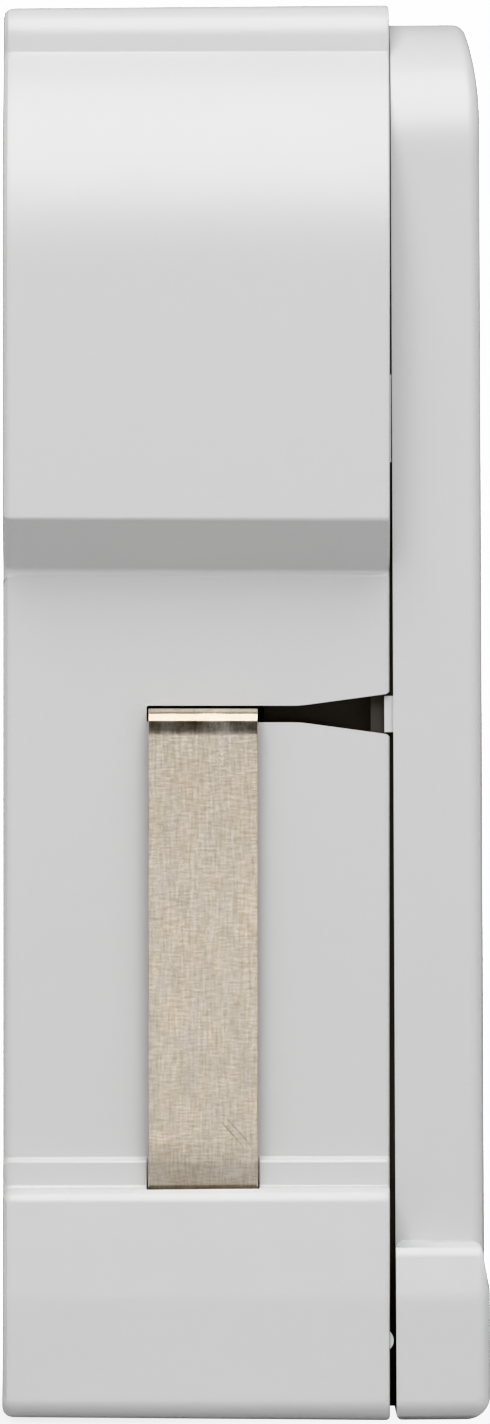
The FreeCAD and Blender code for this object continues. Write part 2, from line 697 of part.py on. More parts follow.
def make_board_parts():
    """Resistors, capacitors, coils and the small chips, each a solid of its own."""
    pieces = []
    for i in range(5):
        pieces.append(on_board(-6.0 + i * 1.6, 12.0, 0.8, 1.6, 0.5))
        pieces.append(on_board(-9.6, -1.5 - i * 2.2, 1.6, 0.8, 0.5))
    for i in range(4):
        pieces.append(on_board(-6.2, -3.0 - i * 3.6, 2.0, 1.25, 1.0))
    storage_coil = on_board(-7.4, -18.4, 3.5, 2.8, 1.9)
    regulator = on_board(-1.4, 2.6, 3.0, 3.0, 1.4)
    transistor = on_board(3.2, 1.6, 2.9, 1.6, 1.1)
    filter_coil = on_board(-5.4, 16.6, 1.25, 2.0, 0.9)
    memory_chip = on_board(-9.2, 12.8, 3.9, 3.0, 1.3)
    return pieces + [storage_coil, regulator, transistor, filter_coil, memory_chip]


def make_antenna_strip():
    """Slotted strip standing on two legs along the board's top edge."""
    face_y = (-17.3, -17.0)
    low_z = 28.8
    bar = block((-3.0, 6.6), face_y, (low_z, low_z + 1.4))
    for i in range(3):
        slot_x = -0.6 + i * 2.0
        bar = bar.cut(block((slot_x, slot_x + 0.5), (-18.0, -16.0), (low_z + 0.5, low_z + 2.2)))
    for x in (-3.0, 2.4):
        bar = bar.fuse(block((x, x + 0.3), (face_y[0], BOARD_Y[1] - 0.01), (low_z, low_z + 0.5)))
    return one_solid(bar)


def make_pair_button():
    front_y = BOARD_Y[1] - PAIR_SWITCH_HEIGHT - 0.8
    stem = rod(PAIR_BUTTON_RADIUS, BOARD_Y[1] - 1.4, front_y, "Y", PAIR_SWITCH)
    tip = [e for e in stem.Edges if e.BoundBox.YMax < front_y + 0.1]
    return stem.makeFillet(0.2, tip)


def make_pair_switch():
    side = 4.5
    base = on_board(PAIR_SWITCH[0], PAIR_SWITCH[1], side, side, PAIR_SWITCH_HEIGHT)
    upright = [e for e in base.Edges if e.BoundBox.YLength > PAIR_SWITCH_HEIGHT - 0.1]
    base = base.makeChamfer(0.35, upright)
    bore = PAIR_BUTTON_RADIUS + 0.07
    return base.cut(rod(bore, BOARD_Y[1] - 1.0, BOARD_Y[1] - 3.0, "Y", PAIR_SWITCH))


# ---- cell and its contacts ----------------------------------------------------------


def make_battery_can():
    can_top = CELL_Z[1] - CELL_CAP_HEIGHT - 0.01
    can = rod(CELL_RADIUS - 0.2, CELL_Z[0], can_top, "Z", (CELL_X, CELL_Y))
    ends = [e for e in can.Edges if e.BoundBox.ZLength < 1e-6]
    return can.makeFillet(0.5, ends)


def make_battery_sleeve():
    """Shrink sleeve round the can, open at both ends."""
    low = CELL_Z[0] + 0.5
    high = CELL_Z[1] - 1.3
    thickness = 0.17
    tube = rod(CELL_RADIUS, low, high, "Z", (CELL_X, CELL_Y))
    inside = rod(CELL_RADIUS - thickness, low - CUT_PAST, high + CUT_PAST, "Z", (CELL_X, CELL_Y))
    return tube.cut(inside)


def make_battery_cap():
    cap = rod(3.6, CELL_Z[1] - CELL_CAP_HEIGHT, CELL_Z[1], "Z", (CELL_X, CELL_Y))
    return cap.makeFillet(0.25, [e for e in cap.Edges if e.BoundBox.ZMin > CELL_Z[1] - 0.1])


def make_contact_plus():
    """Leaf contact above the cell: a bulge that meets the cap and a leg to the board."""
    flat_z = -2.57
    bulge_z = -3.4
    leg_y = -14.3
    path = [
        (-6.0, flat_z, 0.0),
        (-9.0, flat_z, 0.3),
        (-9.8, bulge_z, 0.3),
        (-10.2, bulge_z, 0.3),
        (-11.0, flat_z, 0.3),
        (leg_y, flat_z, 0.2),
        (leg_y, 0.8, 0.0),
    ]
    contact = strip(path, 0.28, CELL_X - 2.5, CELL_X + 2.5, "YZ")
    wide = block((CELL_X - 2.7, CELL_X + 2.7), (-5.0, -13.9), (-4.0, -2.0))
    narrow = block((CELL_X - 1.1, CELL_X + 1.1), (-13.0, -15.0), (-4.0, 1.0))
    return one_solid(contact.common(wide.fuse(narrow)))


def make_contact_minus():
    """Bowed leaf contact under the cell, with a flat run and a leg up to the board."""
    base_z = -31.98
    bow_z = -30.85
    spring = [
        (-6.2, -31.25, 0.0),
        (-7.2, bow_z, 0.4),
        (-10.0, bow_z, 0.8),
        (-13.2, -31.35, 0.1),
        (-14.4, -31.35, 0.1),
        (-14.4, base_z, 0.1),
        (-6.0, base_z, 0.0),
    ]
    thickness = 0.2
    run_z = (base_z - thickness / 2.0, base_z + thickness / 2.0)
    run_x = -4.3
    body = strip(spring, thickness, CELL_X - 2.3, CELL_X + 2.3, "YZ")
    body = body.fuse(block((run_x, 3.0), (-12.6, -14.4), run_z))
    return one_solid(body.fuse(block((run_x, run_x + 0.25), (-12.6, -14.6), (run_z[0], -20.8))))


# ---- output -------------------------------------------------------------------------


def as_group(made):
    return Part.makeCompound(made) if isinstance(made, list) else made


def main():
    nodes = {
        "rear_housing": make_rear_housing(),
        "front_cover": make_front_cover(),
        "light_pipe": make_light_pipe(),
        "actuator_leaf": make_actuator_leaf(),
        "push_pin": make_push_pin(),
        "inner_chassis": make_inner_chassis(),
        "leaf_clamp": make_leaf_clamp(),
        "clamp_screw": make_clamp_screw(),
        "chassis_screws": make_chassis_screws(),
        "switch_case": make_switch_case(),
        "switch_button": make_switch_button(),
        "switch_terminals": make_switch_terminals(),
        "circuit_board": make_circuit_board(),
        "board_screws": make_board_screws(),
        "radio_board": make_radio_board(),
        "radio_shield": make_radio_shield(),
        "control_chip": on_board(2.2, 8.0, 5.0, 5.0, 0.85),
        "crystal_can": on_board(-2.8, 7.6, 3.2, 2.5, 0.8),
        "board_parts": make_board_parts(),
        "antenna_strip": make_antenna_strip(),
        "status_led": on_board(LIGHT_PIPE[0], LIGHT_PIPE[1], 1.6, 1.2, 0.7),
        "pair_switch": make_pair_switch(),
        "pair_button": make_pair_button(),
        "battery_can": make_battery_can(),
        "battery_sleeve": make_battery_sleeve(),
        "battery_cap": make_battery_cap(),
        "contact_plus": make_contact_plus(),
        "contact_minus": make_contact_minus(),
    }
    os.makedirs("parts", exist_ok=True)
    for name, made in nodes.items():
        shape = as_group(made)
        print(name, "valid" if shape.isValid() else "INVALID", len(shape.Solids), round(shape.Volume, 2))
        shape.exportStep("parts/" + name + ".step")


main()
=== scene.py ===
"""Finish and studio for a sprung-leaf door contact sensor, laid out as an add-on."""
import json
import math

import bmesh
import bpy
from bpy.props import FloatProperty, FloatVectorProperty, PointerProperty
from bpy.types import Operator, Panel, PropertyGroup
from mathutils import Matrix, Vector


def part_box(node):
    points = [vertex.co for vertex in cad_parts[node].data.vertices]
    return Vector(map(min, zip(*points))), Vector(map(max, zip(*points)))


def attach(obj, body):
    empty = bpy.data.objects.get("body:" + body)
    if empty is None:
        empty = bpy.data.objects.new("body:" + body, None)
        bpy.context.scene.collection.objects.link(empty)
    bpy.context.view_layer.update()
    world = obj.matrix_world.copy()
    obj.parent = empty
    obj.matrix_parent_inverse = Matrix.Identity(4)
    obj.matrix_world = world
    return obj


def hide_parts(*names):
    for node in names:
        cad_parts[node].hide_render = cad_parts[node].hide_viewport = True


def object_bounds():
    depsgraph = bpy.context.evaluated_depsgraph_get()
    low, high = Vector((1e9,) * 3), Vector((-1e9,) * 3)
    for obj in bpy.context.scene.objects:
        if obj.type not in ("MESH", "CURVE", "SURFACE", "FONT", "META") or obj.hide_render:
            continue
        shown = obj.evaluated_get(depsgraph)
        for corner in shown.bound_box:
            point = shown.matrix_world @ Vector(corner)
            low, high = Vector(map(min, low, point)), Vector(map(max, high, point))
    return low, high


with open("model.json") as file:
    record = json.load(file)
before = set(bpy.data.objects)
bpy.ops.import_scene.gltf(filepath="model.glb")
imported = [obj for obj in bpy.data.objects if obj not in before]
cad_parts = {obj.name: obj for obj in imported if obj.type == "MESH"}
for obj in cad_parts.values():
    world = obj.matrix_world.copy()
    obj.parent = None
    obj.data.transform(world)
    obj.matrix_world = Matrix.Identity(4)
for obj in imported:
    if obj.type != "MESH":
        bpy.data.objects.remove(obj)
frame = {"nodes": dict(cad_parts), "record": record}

bl_info = {
    "name": "Door contact sensor finish",
    "version": (1, 0, 0),
    "blender": (4, 5, 0),
    "location": "3D View > Sidebar > Sensor",
    "description": "Dresses the packed door contact sensor and builds its studio",
    "category": "Object",
}

CAD_BOX = [list(corner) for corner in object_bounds()]
RECORD = frame["record"]
NODES = frame["nodes"]
BODY_OF = {node: body for body, held in RECORD["behaviour"]["bodies"].items() for node in held}
SLOT_OF = {part["node"]: part["material_slot"] for part in RECORD["subparts"]}
MM = 0.001
MICROMETRE = 1e-6
MERGE_DISTANCE = MICROMETRE
WHITE_OUT = 8.0      # strength at which the surroundings read as pure white

# the leaf: how the roll eases into the flat, the flat's length and the two turns of the toe
LEAF_EASE_RADIUS = 5.0 * MM
LEAF_EASE_DEG = 8.0
LEAF_TOE_DROP = 21.49 * MM
LEAF_TOE_BENDS = ((8.0 * MM, 1.56), (3.0 * MM, 4.92))
LEAF_TOE_RUN = 0.86 * MM
LEAF_TOE_END = 2.05 * MM
LEAF_PEG_INSET = 0.9 * MM
LEAF_PEG_RADIUS = 0.7 * MM

# screws: heads, and proportions as shares of the head or the shank
BOARD_SCREW_HEAD = (1.85 * MM, 1.2 * MM)
CHASSIS_SCREW_HEAD = (1.9 * MM, 1.1 * MM)
CROWN_SHARE = 0.55
CROWN_SWELL = 1.1
RECESS_REACH = 1.05
RECESS_SHARE = 0.22
CORE_SHARE = 0.82
THREAD_SHARE = 0.84
RIDGE_SHARE = 0.15
THREADED_SHARE = 0.9

# board parts
LONGEST_CHIP = 2.2 * MM
LEAD_PITCH = 0.65 * MM
LEAD_DROP = 0.4 * MM
LEAD_SUNK = 0.05 * MM

# the softbox and the framing
SOFTBOX_RISE = math.radians(52.0)
SOFTBOX_HALF_TALL = math.radians(25.0)
SOFTBOX_HALF_WIDE = math.radians(28.0)
SOFTBOX_REACH = 1.4
FRAME_HEIGHT = 71.2 * MM
FRAME_CENTRE_Y = -12.15 * MM
FRAME_DROP = 0.07 * MM
SENSOR_WIDTH = 36.0


# ---- small helpers ------------------------------------------------------------------


def linear(hex_colour):
    """sRGB hex such as D9D9DB as linear RGBA."""
    channels = []
    for start in (0, 2, 4):
        value = int(hex_colour[start:start + 2], 16) / 255.0
        channels.append(value / 12.92 if value <= 0.04045 else ((value + 0.055) / 1.055) ** 2.4)
    return (*channels, 1.0)


def add(tree, kind, sockets=None, **settings):
    """One node with its settings; each socket gets a value, an output or a list of outputs."""
    node = tree.nodes.new(kind)
    for name, value in settings.items():
        setattr(node, name, value)
    for socket, given in (sockets or {}).items():
        several = given if isinstance(given, list) else [given]
        if isinstance(several[0], bpy.types.NodeSocket):
            for source in several:
                tree.links.new(source, node.inputs[socket])
        else:
            node.inputs[socket].default_value = given
    return node


def per_mm(size_mm):
    """Texture scale for a feature of this size, on coordinates in metres."""
    return 1.0 / (size_mm * MM)


def surface(name, colour, roughness, metallic=0.0, ior=None, **sockets):
    """A material with one Principled shader; returns it, its tree, shader and coordinates."""
    material = bpy.data.materials.new(name)
    material.use_nodes = True
    tree = material.node_tree
    shader = tree.nodes["Principled BSDF"]
    shader.inputs["Base Color"].default_value = linear(colour)
    shader.inputs["Roughness"].default_value = roughness
    shader.inputs["Metallic"].default_value = metallic
    if ior is not None:
        shader.inputs["IOR"].default_value = ior
    for socket, value in sockets.items():
        shader.inputs[socket.replace("_", " ")].default_value = value
    material.diffuse_color = linear(colour)
    coords = add(tree, "ShaderNodeTexCoord").outputs["Object"]
    return material, tree, shader, coords


def noise(tree, coords, size_mm, stretch=(1.0, 1.0, 1.0), detail=3.0, turn=(0.0, 0.0, 0.0)):
    """Noise whose grains measure size_mm, longer along an axis where stretch is above one."""
    scale = [per_mm(size_mm) / s for s in stretch]
    placed = add(tree, "ShaderNodeMapping", {"Scale": scale, "Rotation": turn, "Vector": coords})
    made = add(
        tree,
        "ShaderNodeTexNoise",
        {"Scale": 1.0, "Detail": detail, "Roughness": 0.55, "Vector": placed.outputs["Vector"]},
    )
    return made.outputs["Fac"]


def spread(tree, source, low, high, from_low=0.3, from_high=0.7):
    """Maps the useful part of a pattern onto a range."""
    ends = {"From Min": from_low, "From Max": from_high, "To Min": low, "To Max": high}
    return add(tree, "ShaderNodeMapRange", {"Value": source, **ends}).outputs["Result"]


def tint(tree, source, first, second):
    """Colour that runs from one hex value to another with a pattern."""
    ends = {0: source, 6: linear(first), 7: linear(second)}
    return add(tree, "ShaderNodeMix", ends, data_type="RGBA").outputs[2]


def relief(tree, shader, layers):
    """Stacks bumps, each (pattern, height in micrometres), onto a shader."""
    normal = None
    for pattern, height_um in layers:
        sockets = {"Strength": 1.0, "Distance": height_um * MICROMETRE, "Height": pattern}
        if normal is not None:
            sockets["Normal"] = normal
        normal = add(tree, "ShaderNodeBump", sockets).outputs["Normal"]
    tree.links.new(normal, shader.inputs["Normal"])


# ---- materials ----------------------------------------------------------------------


def moulded_abs_white(settings):
    """Injection-moulded ABS: satin, faint orange peel and slow tone drift near the gate."""
    material, tree, shader, coords = surface("moulded_abs_white", "E3E3E5", 0.34, ior=1.54)
    shader.inputs["Base Color"].default_value = (*settings.white_plastic, 1.0)
    shader.inputs["Roughness"].default_value = settings.plastic_roughness
    peel = noise(tree, coords, 0.9, detail=2.0)
    grain = noise(tree, coords, 0.16, detail=2.0)
    cloud = noise(tree, coords, 2.4, (1.0, 1.6, 1.0), 4.0)
    relief(tree, shader, [(peel, 3.0), (grain, 0.7)])
    low = settings.plastic_roughness - 0.03
    gloss = spread(tree, cloud, low, low + 0.07)
    tree.links.new(gloss, shader.inputs["Roughness"])
    return material


def moulded_abs_black(settings):
    """Black ABS off a spark-eroded tool: matt with a fine even grain."""
    material, tree, shader, coords = surface("moulded_abs_black", "4A4641", 0.55, ior=1.54)
    grain = noise(tree, coords, 0.12)
    relief(tree, shader, [(grain, 4.0)])
    tree.links.new(spread(tree, grain, 0.48, 0.62), shader.inputs["Roughness"])
    return material


def nickel_plated_spring_strip(settings):
    """Rolled spring steel, nickel plated: warm grey, handled, with grain and two drag marks."""
    material, tree, shader, coords = surface("nickel_plated_spring_strip", "D6CCC0", 0.2, 1.0)
    grain = noise(tree, coords, 0.1, (1.0, 1.0, 9.0), 5.0, (math.radians(6.0), 0.0, 0.0))
    scuff = noise(tree, coords, 0.12, (1.0, 5.0, 1.0), 4.0, (math.radians(-38.0), 0.0, 0.0))
    cloud = noise(tree, coords, 1.3, (1.0, 1.0, 2.0), 5.0)
    marks_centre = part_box("actuator_leaf")[0] + Vector((0.0, 1.0 * MM, 3.6 * MM))
    placed = add(tree, "ShaderNodeMapping", {"Location": -marks_centre, "Vector": coords})
    turn = {"Rotation": (math.radians(42.0), 0.0, 0.0)}
    turned = add(tree, "ShaderNodeMapping", {**turn, "Vector": placed.outputs["Vector"]})
    parts = add(tree, "ShaderNodeSeparateXYZ", {"Vector": turned.outputs["Vector"]})
    along = add(tree, "ShaderNodeMath", {0: parts.outputs["Z"]}, operation="ABSOLUTE")
    across = add(tree, "ShaderNodeMath", {0: parts.outputs["Y"]}, operation="ABSOLUTE")
    apart = add(tree, "ShaderNodeMath", {1: 0.16 * MM, 0: across.outputs[0]}, operation="SUBTRACT")
    aside = add(tree, "ShaderNodeMath", {0: apart.outputs[0]}, operation="ABSOLUTE")
    line = spread(tree, aside.outputs[0], 1.0, 0.0, 0.0, 0.045 * MM)
    within = spread(tree, along.outputs[0], 1.0, 0.0, 0.8 * MM, 1.6 * MM)
    marks = add(tree, "ShaderNodeMath", {0: line, 1: within}, operation="MULTIPLY")
    broken = add(tree, "ShaderNodeMath", {0: marks.outputs[0], 1: scuff}, operation="MULTIPLY")
    relief(tree, shader, [(grain, 1.6), (scuff, 1.3), (broken.outputs[0], 3.5)])
    tree.links.new(spread(tree, cloud, 0.13, 0.24), shader.inputs["Roughness"])
    shade = add(tree, "ShaderNodeMath", {0: grain, 1: cloud}, operation="ADD")
    shade = add(tree, "ShaderNodeMath", {0: shade.outputs[0], 1: scuff}, operation="ADD")
    colour = tint(tree, spread(tree, shade.outputs[0], 0.0, 1.0, 1.2, 1.8), "CDBFAB", "F0E7DB")
    tree.links.new(colour, shader.inputs["Base Color"])
    return material


def zinc_plated_steel(settings):
    """Cold-headed steel with bright zinc: cool grey, slightly cloudy."""
    material, tree, shader, coords = surface("zinc_plated_steel", "C2C6CC", 0.3, 1.0)
    cloud = noise(tree, coords, 0.5)
    relief(tree, shader, [(noise(tree, coords, 0.08), 1.2)])
    tree.links.new(spread(tree, cloud, 0.22, 0.42), shader.inputs["Roughness"])
    tree.links.new(tint(tree, cloud, "B4B9C0", "D0D3D8"), shader.inputs["Base Color"])
    return material


def natural_acetal(settings):
    """Turned or moulded acetal: waxy off-white with a soft glow."""
    material, tree, shader, coords = surface("natural_acetal", "E2E0D8", 0.38, ior=1.48)
    shader.inputs["Subsurface Weight"].default_value = 0.15
    shader.inputs["Subsurface Scale"].default_value = 0.0004
    relief(tree, shader, [(noise(tree, coords, 0.15), 1.5)])
    tree.links.new(spread(tree, noise(tree, coords, 0.8), 0.32, 0.46), shader.inputs["Roughness"])
    return material


def red_acetal(settings):
    """Moulded red acetal of the switch button: waxy, darker in the pores."""
    material, tree, shader, coords = surface("red_acetal", "B3261C", 0.4, ior=1.48)
    grain = noise(tree, coords, 0.2)
    relief(tree, shader, [(grain, 1.5)])
    tree.links.new(tint(tree, grain, "A52018", "BC2D22"), shader.inputs["Base Color"])
    return material


def moulded_nylon_black(settings):
    """Glass-filled black nylon: matt, with short pale fibres just showing."""
    material, tree, shader, coords = surface("moulded_nylon_black", "1F1F20", 0.5, ior=1.53)
    fibre = noise(tree, coords, 0.06, (1.0, 1.0, 5.0), 2.0, (0.4, 0.3, 0.0))
    relief(tree, shader, [(fibre, 2.5)])
    shown = spread(tree, fibre, 0.0, 1.0, 0.55, 0.8)
    tree.links.new(tint(tree, shown, "1D1D1E", "343436"), shader.inputs["Base Color"])
    return material


def tinned_brass(settings):
    """Stamped brass dipped in tin: pale, softly wavy."""
    material, tree, shader, coords = surface("tinned_brass", "D2CCB6", 0.3, 1.0)
    wave = noise(tree, coords, 0.6)
    relief(tree, shader, [(wave, 6.0), (noise(tree, coords, 0.08), 1.0)])
    tree.links.new(tint(tree, wave, "C9BF9F", "D8D6CC"), shader.inputs["Base Color"])
    return material


def solder_mask_laminate(settings):
    """Green solder mask over etched copper: raised tracks, paler where copper lies below."""
    material, tree, shader, coords = surface("solder_mask_laminate", "0F5A34", 0.28, ior=1.52)
    scale = [per_mm(1.3), 1.0, per_mm(1.3)]
    placed = add(tree, "ShaderNodeMapping", {"Scale": scale, "Vector": coords})
    cells = add(
        tree,
        "ShaderNodeTexVoronoi",
        {"Scale": 1.0, "Randomness": 0.75, "Vector": placed.outputs["Vector"]},
        feature="F1",
        distance="MANHATTAN",
    )
    rings = add(
        tree,
        "ShaderNodeMath",
        {1: 3.2, 0: cells.outputs["Distance"]},
        operation="MULTIPLY",
    )
    saw = add(tree, "ShaderNodeMath", {1: 1.0, 0: rings.outputs[0]}, operation="PINGPONG")
    track = spread(tree, saw.outputs[0], 0.0, 1.0, 0.62, 0.72)
    tree.links.new(tint(tree, track, "0B4A2A", "1C7A48"), shader.inputs["Base Color"])
    relief(tree, shader, [(track, 18.0), (noise(tree, coords, 0.3), 2.0)])
    return material


def tin_plated_shield(settings):
    """Drawn tin-plated steel can: bright with soft tooling streaks."""
    material, tree, shader, coords = surface("tin_plated_shield", "C9C9C8", 0.26, 1.0)
    streak = noise(tree, coords, 0.1, (12.0, 1.0, 1.0))
    relief(tree, shader, [(streak, 1.6)])
    tree.links.new(spread(tree, noise(tree, coords, 1.2), 0.2, 0.36), shader.inputs["Roughness"])
    return material


def moulded_epoxy(settings):
    """Transfer-moulded epoxy package: charcoal, finely blasted."""
    material, tree, shader, coords = surface("moulded_epoxy", "1B1B1D", 0.6, ior=1.55)
    grain = noise(tree, coords, 0.05)
    relief(tree, shader, [(grain, 3.0)])
    tree.links.new(tint(tree, grain, "171718", "262628"), shader.inputs["Base Color"])
    return material


def ceramic_chip_body(settings):
    """Fired ceramic of chip capacitors: biscuit brown, slightly speckled."""
    material, tree, shader, coords = surface("ceramic_chip_body", "9A7B5B", 0.45, ior=1.6)
    speck = noise(tree, coords, 0.1)
    relief(tree, shader, [(speck, 2.0)])
    tree.links.new(tint(tree, speck, "876A4C", "AB8C6B"), shader.inputs["Base Color"])
    return material


def tinned_chip_end(settings):
    """Reflowed tin on the chip ends: bright and rounded by the solder."""
    material, tree, shader, coords = surface("tinned_chip_end", "D0D0CE", 0.24, 1.0)
    relief(tree, shader, [(noise(tree, coords, 0.2), 5.0)])
    return material


def clear_polycarbonate(settings):
    """Clear polycarbonate with a frosted end: milky, passes light."""
    material, tree, shader, coords = surface("clear_polycarbonate", "E6EAEC", 0.3, ior=1.585)
    shader.inputs["Transmission Weight"].default_value = 0.65
    relief(tree, shader, [(noise(tree, coords, 0.12), 3.0)])
    tree.links.new(spread(tree, noise(tree, coords, 0.4), 0.25, 0.4), shader.inputs["Roughness"])
    return material


def nickel_plated_can(settings):
    """Deep-drawn nickel-plated steel: neutral, with draw lines up the wall."""
    material, tree, shader, coords = surface("nickel_plated_can", "C4C0B8", 0.22, 1.0)
    lines = noise(tree, coords, 0.08, (1.0, 1.0, 20.0))
    relief(tree, shader, [(lines, 1.4)])
    tree.links.new(spread(tree, noise(tree, coords, 1.4), 0.16, 0.32), shader.inputs["Roughness"])
    return material


def shrunk_cell_wrap(settings):
    """Shrunk film on the cell: deep blue gloss, slightly rippled, with a plain pale band."""
    material, tree, shader, coords = surface("shrunk_cell_wrap", "1F3F77", 0.25, ior=1.54)
    ripple = noise(tree, coords, 1.1, (1.0, 1.0, 3.0))
    relief(tree, shader, [(ripple, 14.0)])
    parts = add(tree, "ShaderNodeSeparateXYZ", {"Vector": coords})
    low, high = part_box("battery_sleeve")
    band_at = low.z + 0.2 * (high.z - low.z)
    band_width = 0.06 * (high.z - low.z)
    away = add(tree, "ShaderNodeMath", {1: band_at, 0: parts.outputs["Z"]}, operation="SUBTRACT")
    reach = add(tree, "ShaderNodeMath", {0: away.outputs[0]}, operation="ABSOLUTE")
    band = spread(tree, reach.outputs[0], 1.0, 0.0, band_width * 0.98, band_width)
    tree.links.new(tint(tree, band, "1F3F77", "C9CDD2"), shader.inputs["Base Color"])
    return material


MATERIAL_MAKERS = {
    "white_abs": moulded_abs_white,
    "black_abs": moulded_abs_black,
    "nickel_spring_steel": nickel_plated_spring_strip,
    "zinc_steel": zinc_plated_steel,
    "white_acetal": natural_acetal,
    "red_acetal": red_acetal,
    "black_nylon": moulded_nylon_black,
    "tinned_brass": tinned_brass,
    "green_laminate": solder_mask_laminate,
    "tinned_shield": tin_plated_shield,
    "moulded_epoxy": moulded_epoxy,
    "ceramic_chips": ceramic_chip_body,
    "chip_ends": tinned_chip_end,
    "clear_polycarbonate": clear_polycarbonate,
    "nickel_can": nickel_plated_can,
    "cell_wrap": shrunk_cell_wrap,
}
made_materials = {}


def material_for(slot):
    if slot not in made_materials:
        made_materials[slot] = MATERIAL_MAKERS[slot](bpy.context.scene.sensor_finish)
    return made_materials[slot]


# ---- mesh work ----------------------------------------------------------------------


def merged_mesh(node):
    """The node's triangles as one closed, joined mesh."""
    work = bmesh.new()
    work.from_mesh(NODES[node].data)
    bmesh.ops.remove_doubles(work, verts=work.verts, dist=MERGE_DISTANCE)
    bmesh.ops.dissolve_limit(
        work, angle_limit=math.radians(0.05), verts=work.verts, edges=work.edges
    )
    return work


def to_piece(work, name):
    """A linked object at the origin from a finished bmesh."""
    mesh = bpy.data.meshes.new(name)
    work.to_mesh(mesh)
    work.free()
    piece = bpy.data.objects.new(name, mesh)
    bpy.context.scene.collection.objects.link(piece)
    return piece


def soften(piece, crease_deg=24.0, edge_mm=0.0, segments=2):
    """Smooth shading broken at creases, with a small round on the creases if asked."""
    mesh = piece.data
    mesh.shade_smooth()
    mesh.set_sharp_from_angle(angle=math.radians(crease_deg))
    if edge_mm > 0.0:
        bevel = piece.modifiers.new("edge_round", "BEVEL")
        bevel.limit_method = "ANGLE"
        bevel.angle_limit = math.radians(crease_deg)
        bevel.width = edge_mm * MM
        bevel.segments = segments
        bevel.harden_normals = True
    weighted = piece.modifiers.new("face_normals", "WEIGHTED_NORMAL")
    weighted.keep_sharp = True


def dress(piece, node, slots):
    """Gives a piece its materials and its body, and hides the CAD node that it stands for."""
    for slot in slots:
        piece.data.materials.append(material_for(slot))
    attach(piece, BODY_OF[node])
    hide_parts(node)


def dressed_copy(node, crease_deg=24.0, edge_mm=0.0, segments=2):
    """A joined, smoothly shaded copy of a CAD node in its own material."""
    piece = to_piece(merged_mesh(node), node + "_moulding")
    soften(piece, crease_deg, edge_mm, segments)
    dress(piece, node, [SLOT_OF[node]])
    return piece


def islands(node):
    """Low and high corners of each separate solid in a node, in a steady order."""
    work = merged_mesh(node)
    left = set(work.verts)
    boxes = []
    while left:
        group = [left.pop()]
        for vertex in group:
            for edge in vertex.link_edges:
                other = edge.other_vert(vertex)
                if other in left:
                    left.remove(other)
                    group.append(other)
        low = Vector([min(v.co[i] for v in group) for i in range(3)])
        high = Vector([max(v.co[i] for v in group) for i in range(3)])
        boxes.append((low, high))
    work.free()
    return sorted(boxes, key=lambda b: (round(b[0].x, 6), round(b[0].z, 6), round(b[0].y, 6)))


def traced(start, moves, step_deg=3.0):
    """Places and headings along runs and bends; headings are degrees below the -X axis."""
    x, z = start
    heading = 0.0
    places = [(x, z, heading)]
    for run, radius, turn in moves:
        if run > 0.0:
            angle = math.radians(heading)
            x -= run * math.cos(angle)
            z -= run * math.sin(angle)
            places.append((x, z, heading))
        steps = max(1, int(abs(turn) / step_deg))
        for _ in range(steps if turn else 0):
            bit = turn / steps
            chord = 2.0 * radius * math.sin(math.radians(abs(bit)) / 2.0)
            angle = math.radians(heading + bit / 2.0)
            x -= chord * math.cos(angle)
            z -= chord * math.sin(angle)
            heading += bit
            places.append((x, z, heading))
    return places


def swept_strip(places, near_y, far_y, thickness, edge):
    """A flat strip with eased long edges that follows places in the XZ plane."""
    work = bmesh.new()
    section = []
    near, far = near_y + edge, far_y - edge
    for u, v, first in ((far, 1, 0), (near, 1, 90), (near, -1, 180), (far, -1, 270)):
        for part in range(4):
            angle = math.radians(first + part * 30.0)
            side = v * (thickness / 2.0 - edge)
            section.append((u + edge * math.cos(angle), side + edge * math.sin(angle)))
    rings = []
    for x, z, heading in places:
        angle = math.radians(heading)
        normal_x, normal_z = -math.sin(angle), math.cos(angle)
        ring = [work.verts.new((x + normal_x * v, u, z + normal_z * v)) for u, v in section]
        rings.append(ring)
    count = len(section)
    for first, second in zip(rings, rings[1:]):
        for i in range(count):
            j = (i + 1) % count
            work.faces.new((first[i], first[j], second[j], second[i]))
    work.faces.new(rings[0])
    work.faces.new(list(reversed(rings[-1])))
    bmesh.ops.recalc_face_normals(work, faces=work.faces)
    return work


def drilled(piece, radius, centre, axis_length):
    """Cuts a round hole along Z right through a piece and keeps the result as its mesh."""
    work = bmesh.new()
    bmesh.ops.create_cone(
        work, cap_ends=True, segments=32, radius1=radius, radius2=radius, depth=axis_length
    )
    bmesh.ops.translate(work, verts=work.verts, vec=centre)
    cutter = to_piece(work, "drill")
    cut = piece.modifiers.new("hole", "BOOLEAN")
    cut.operation = "DIFFERENCE"
    cut.solver = "EXACT"
    cut.object = cutter
    evaluated = piece.evaluated_get(bpy.context.evaluated_depsgraph_get())
    mesh = bpy.data.meshes.new_from_object(evaluated)
    piece.modifiers.clear()
    piece.data = mesh
    bpy.data.objects.remove(cutter)
    return piece


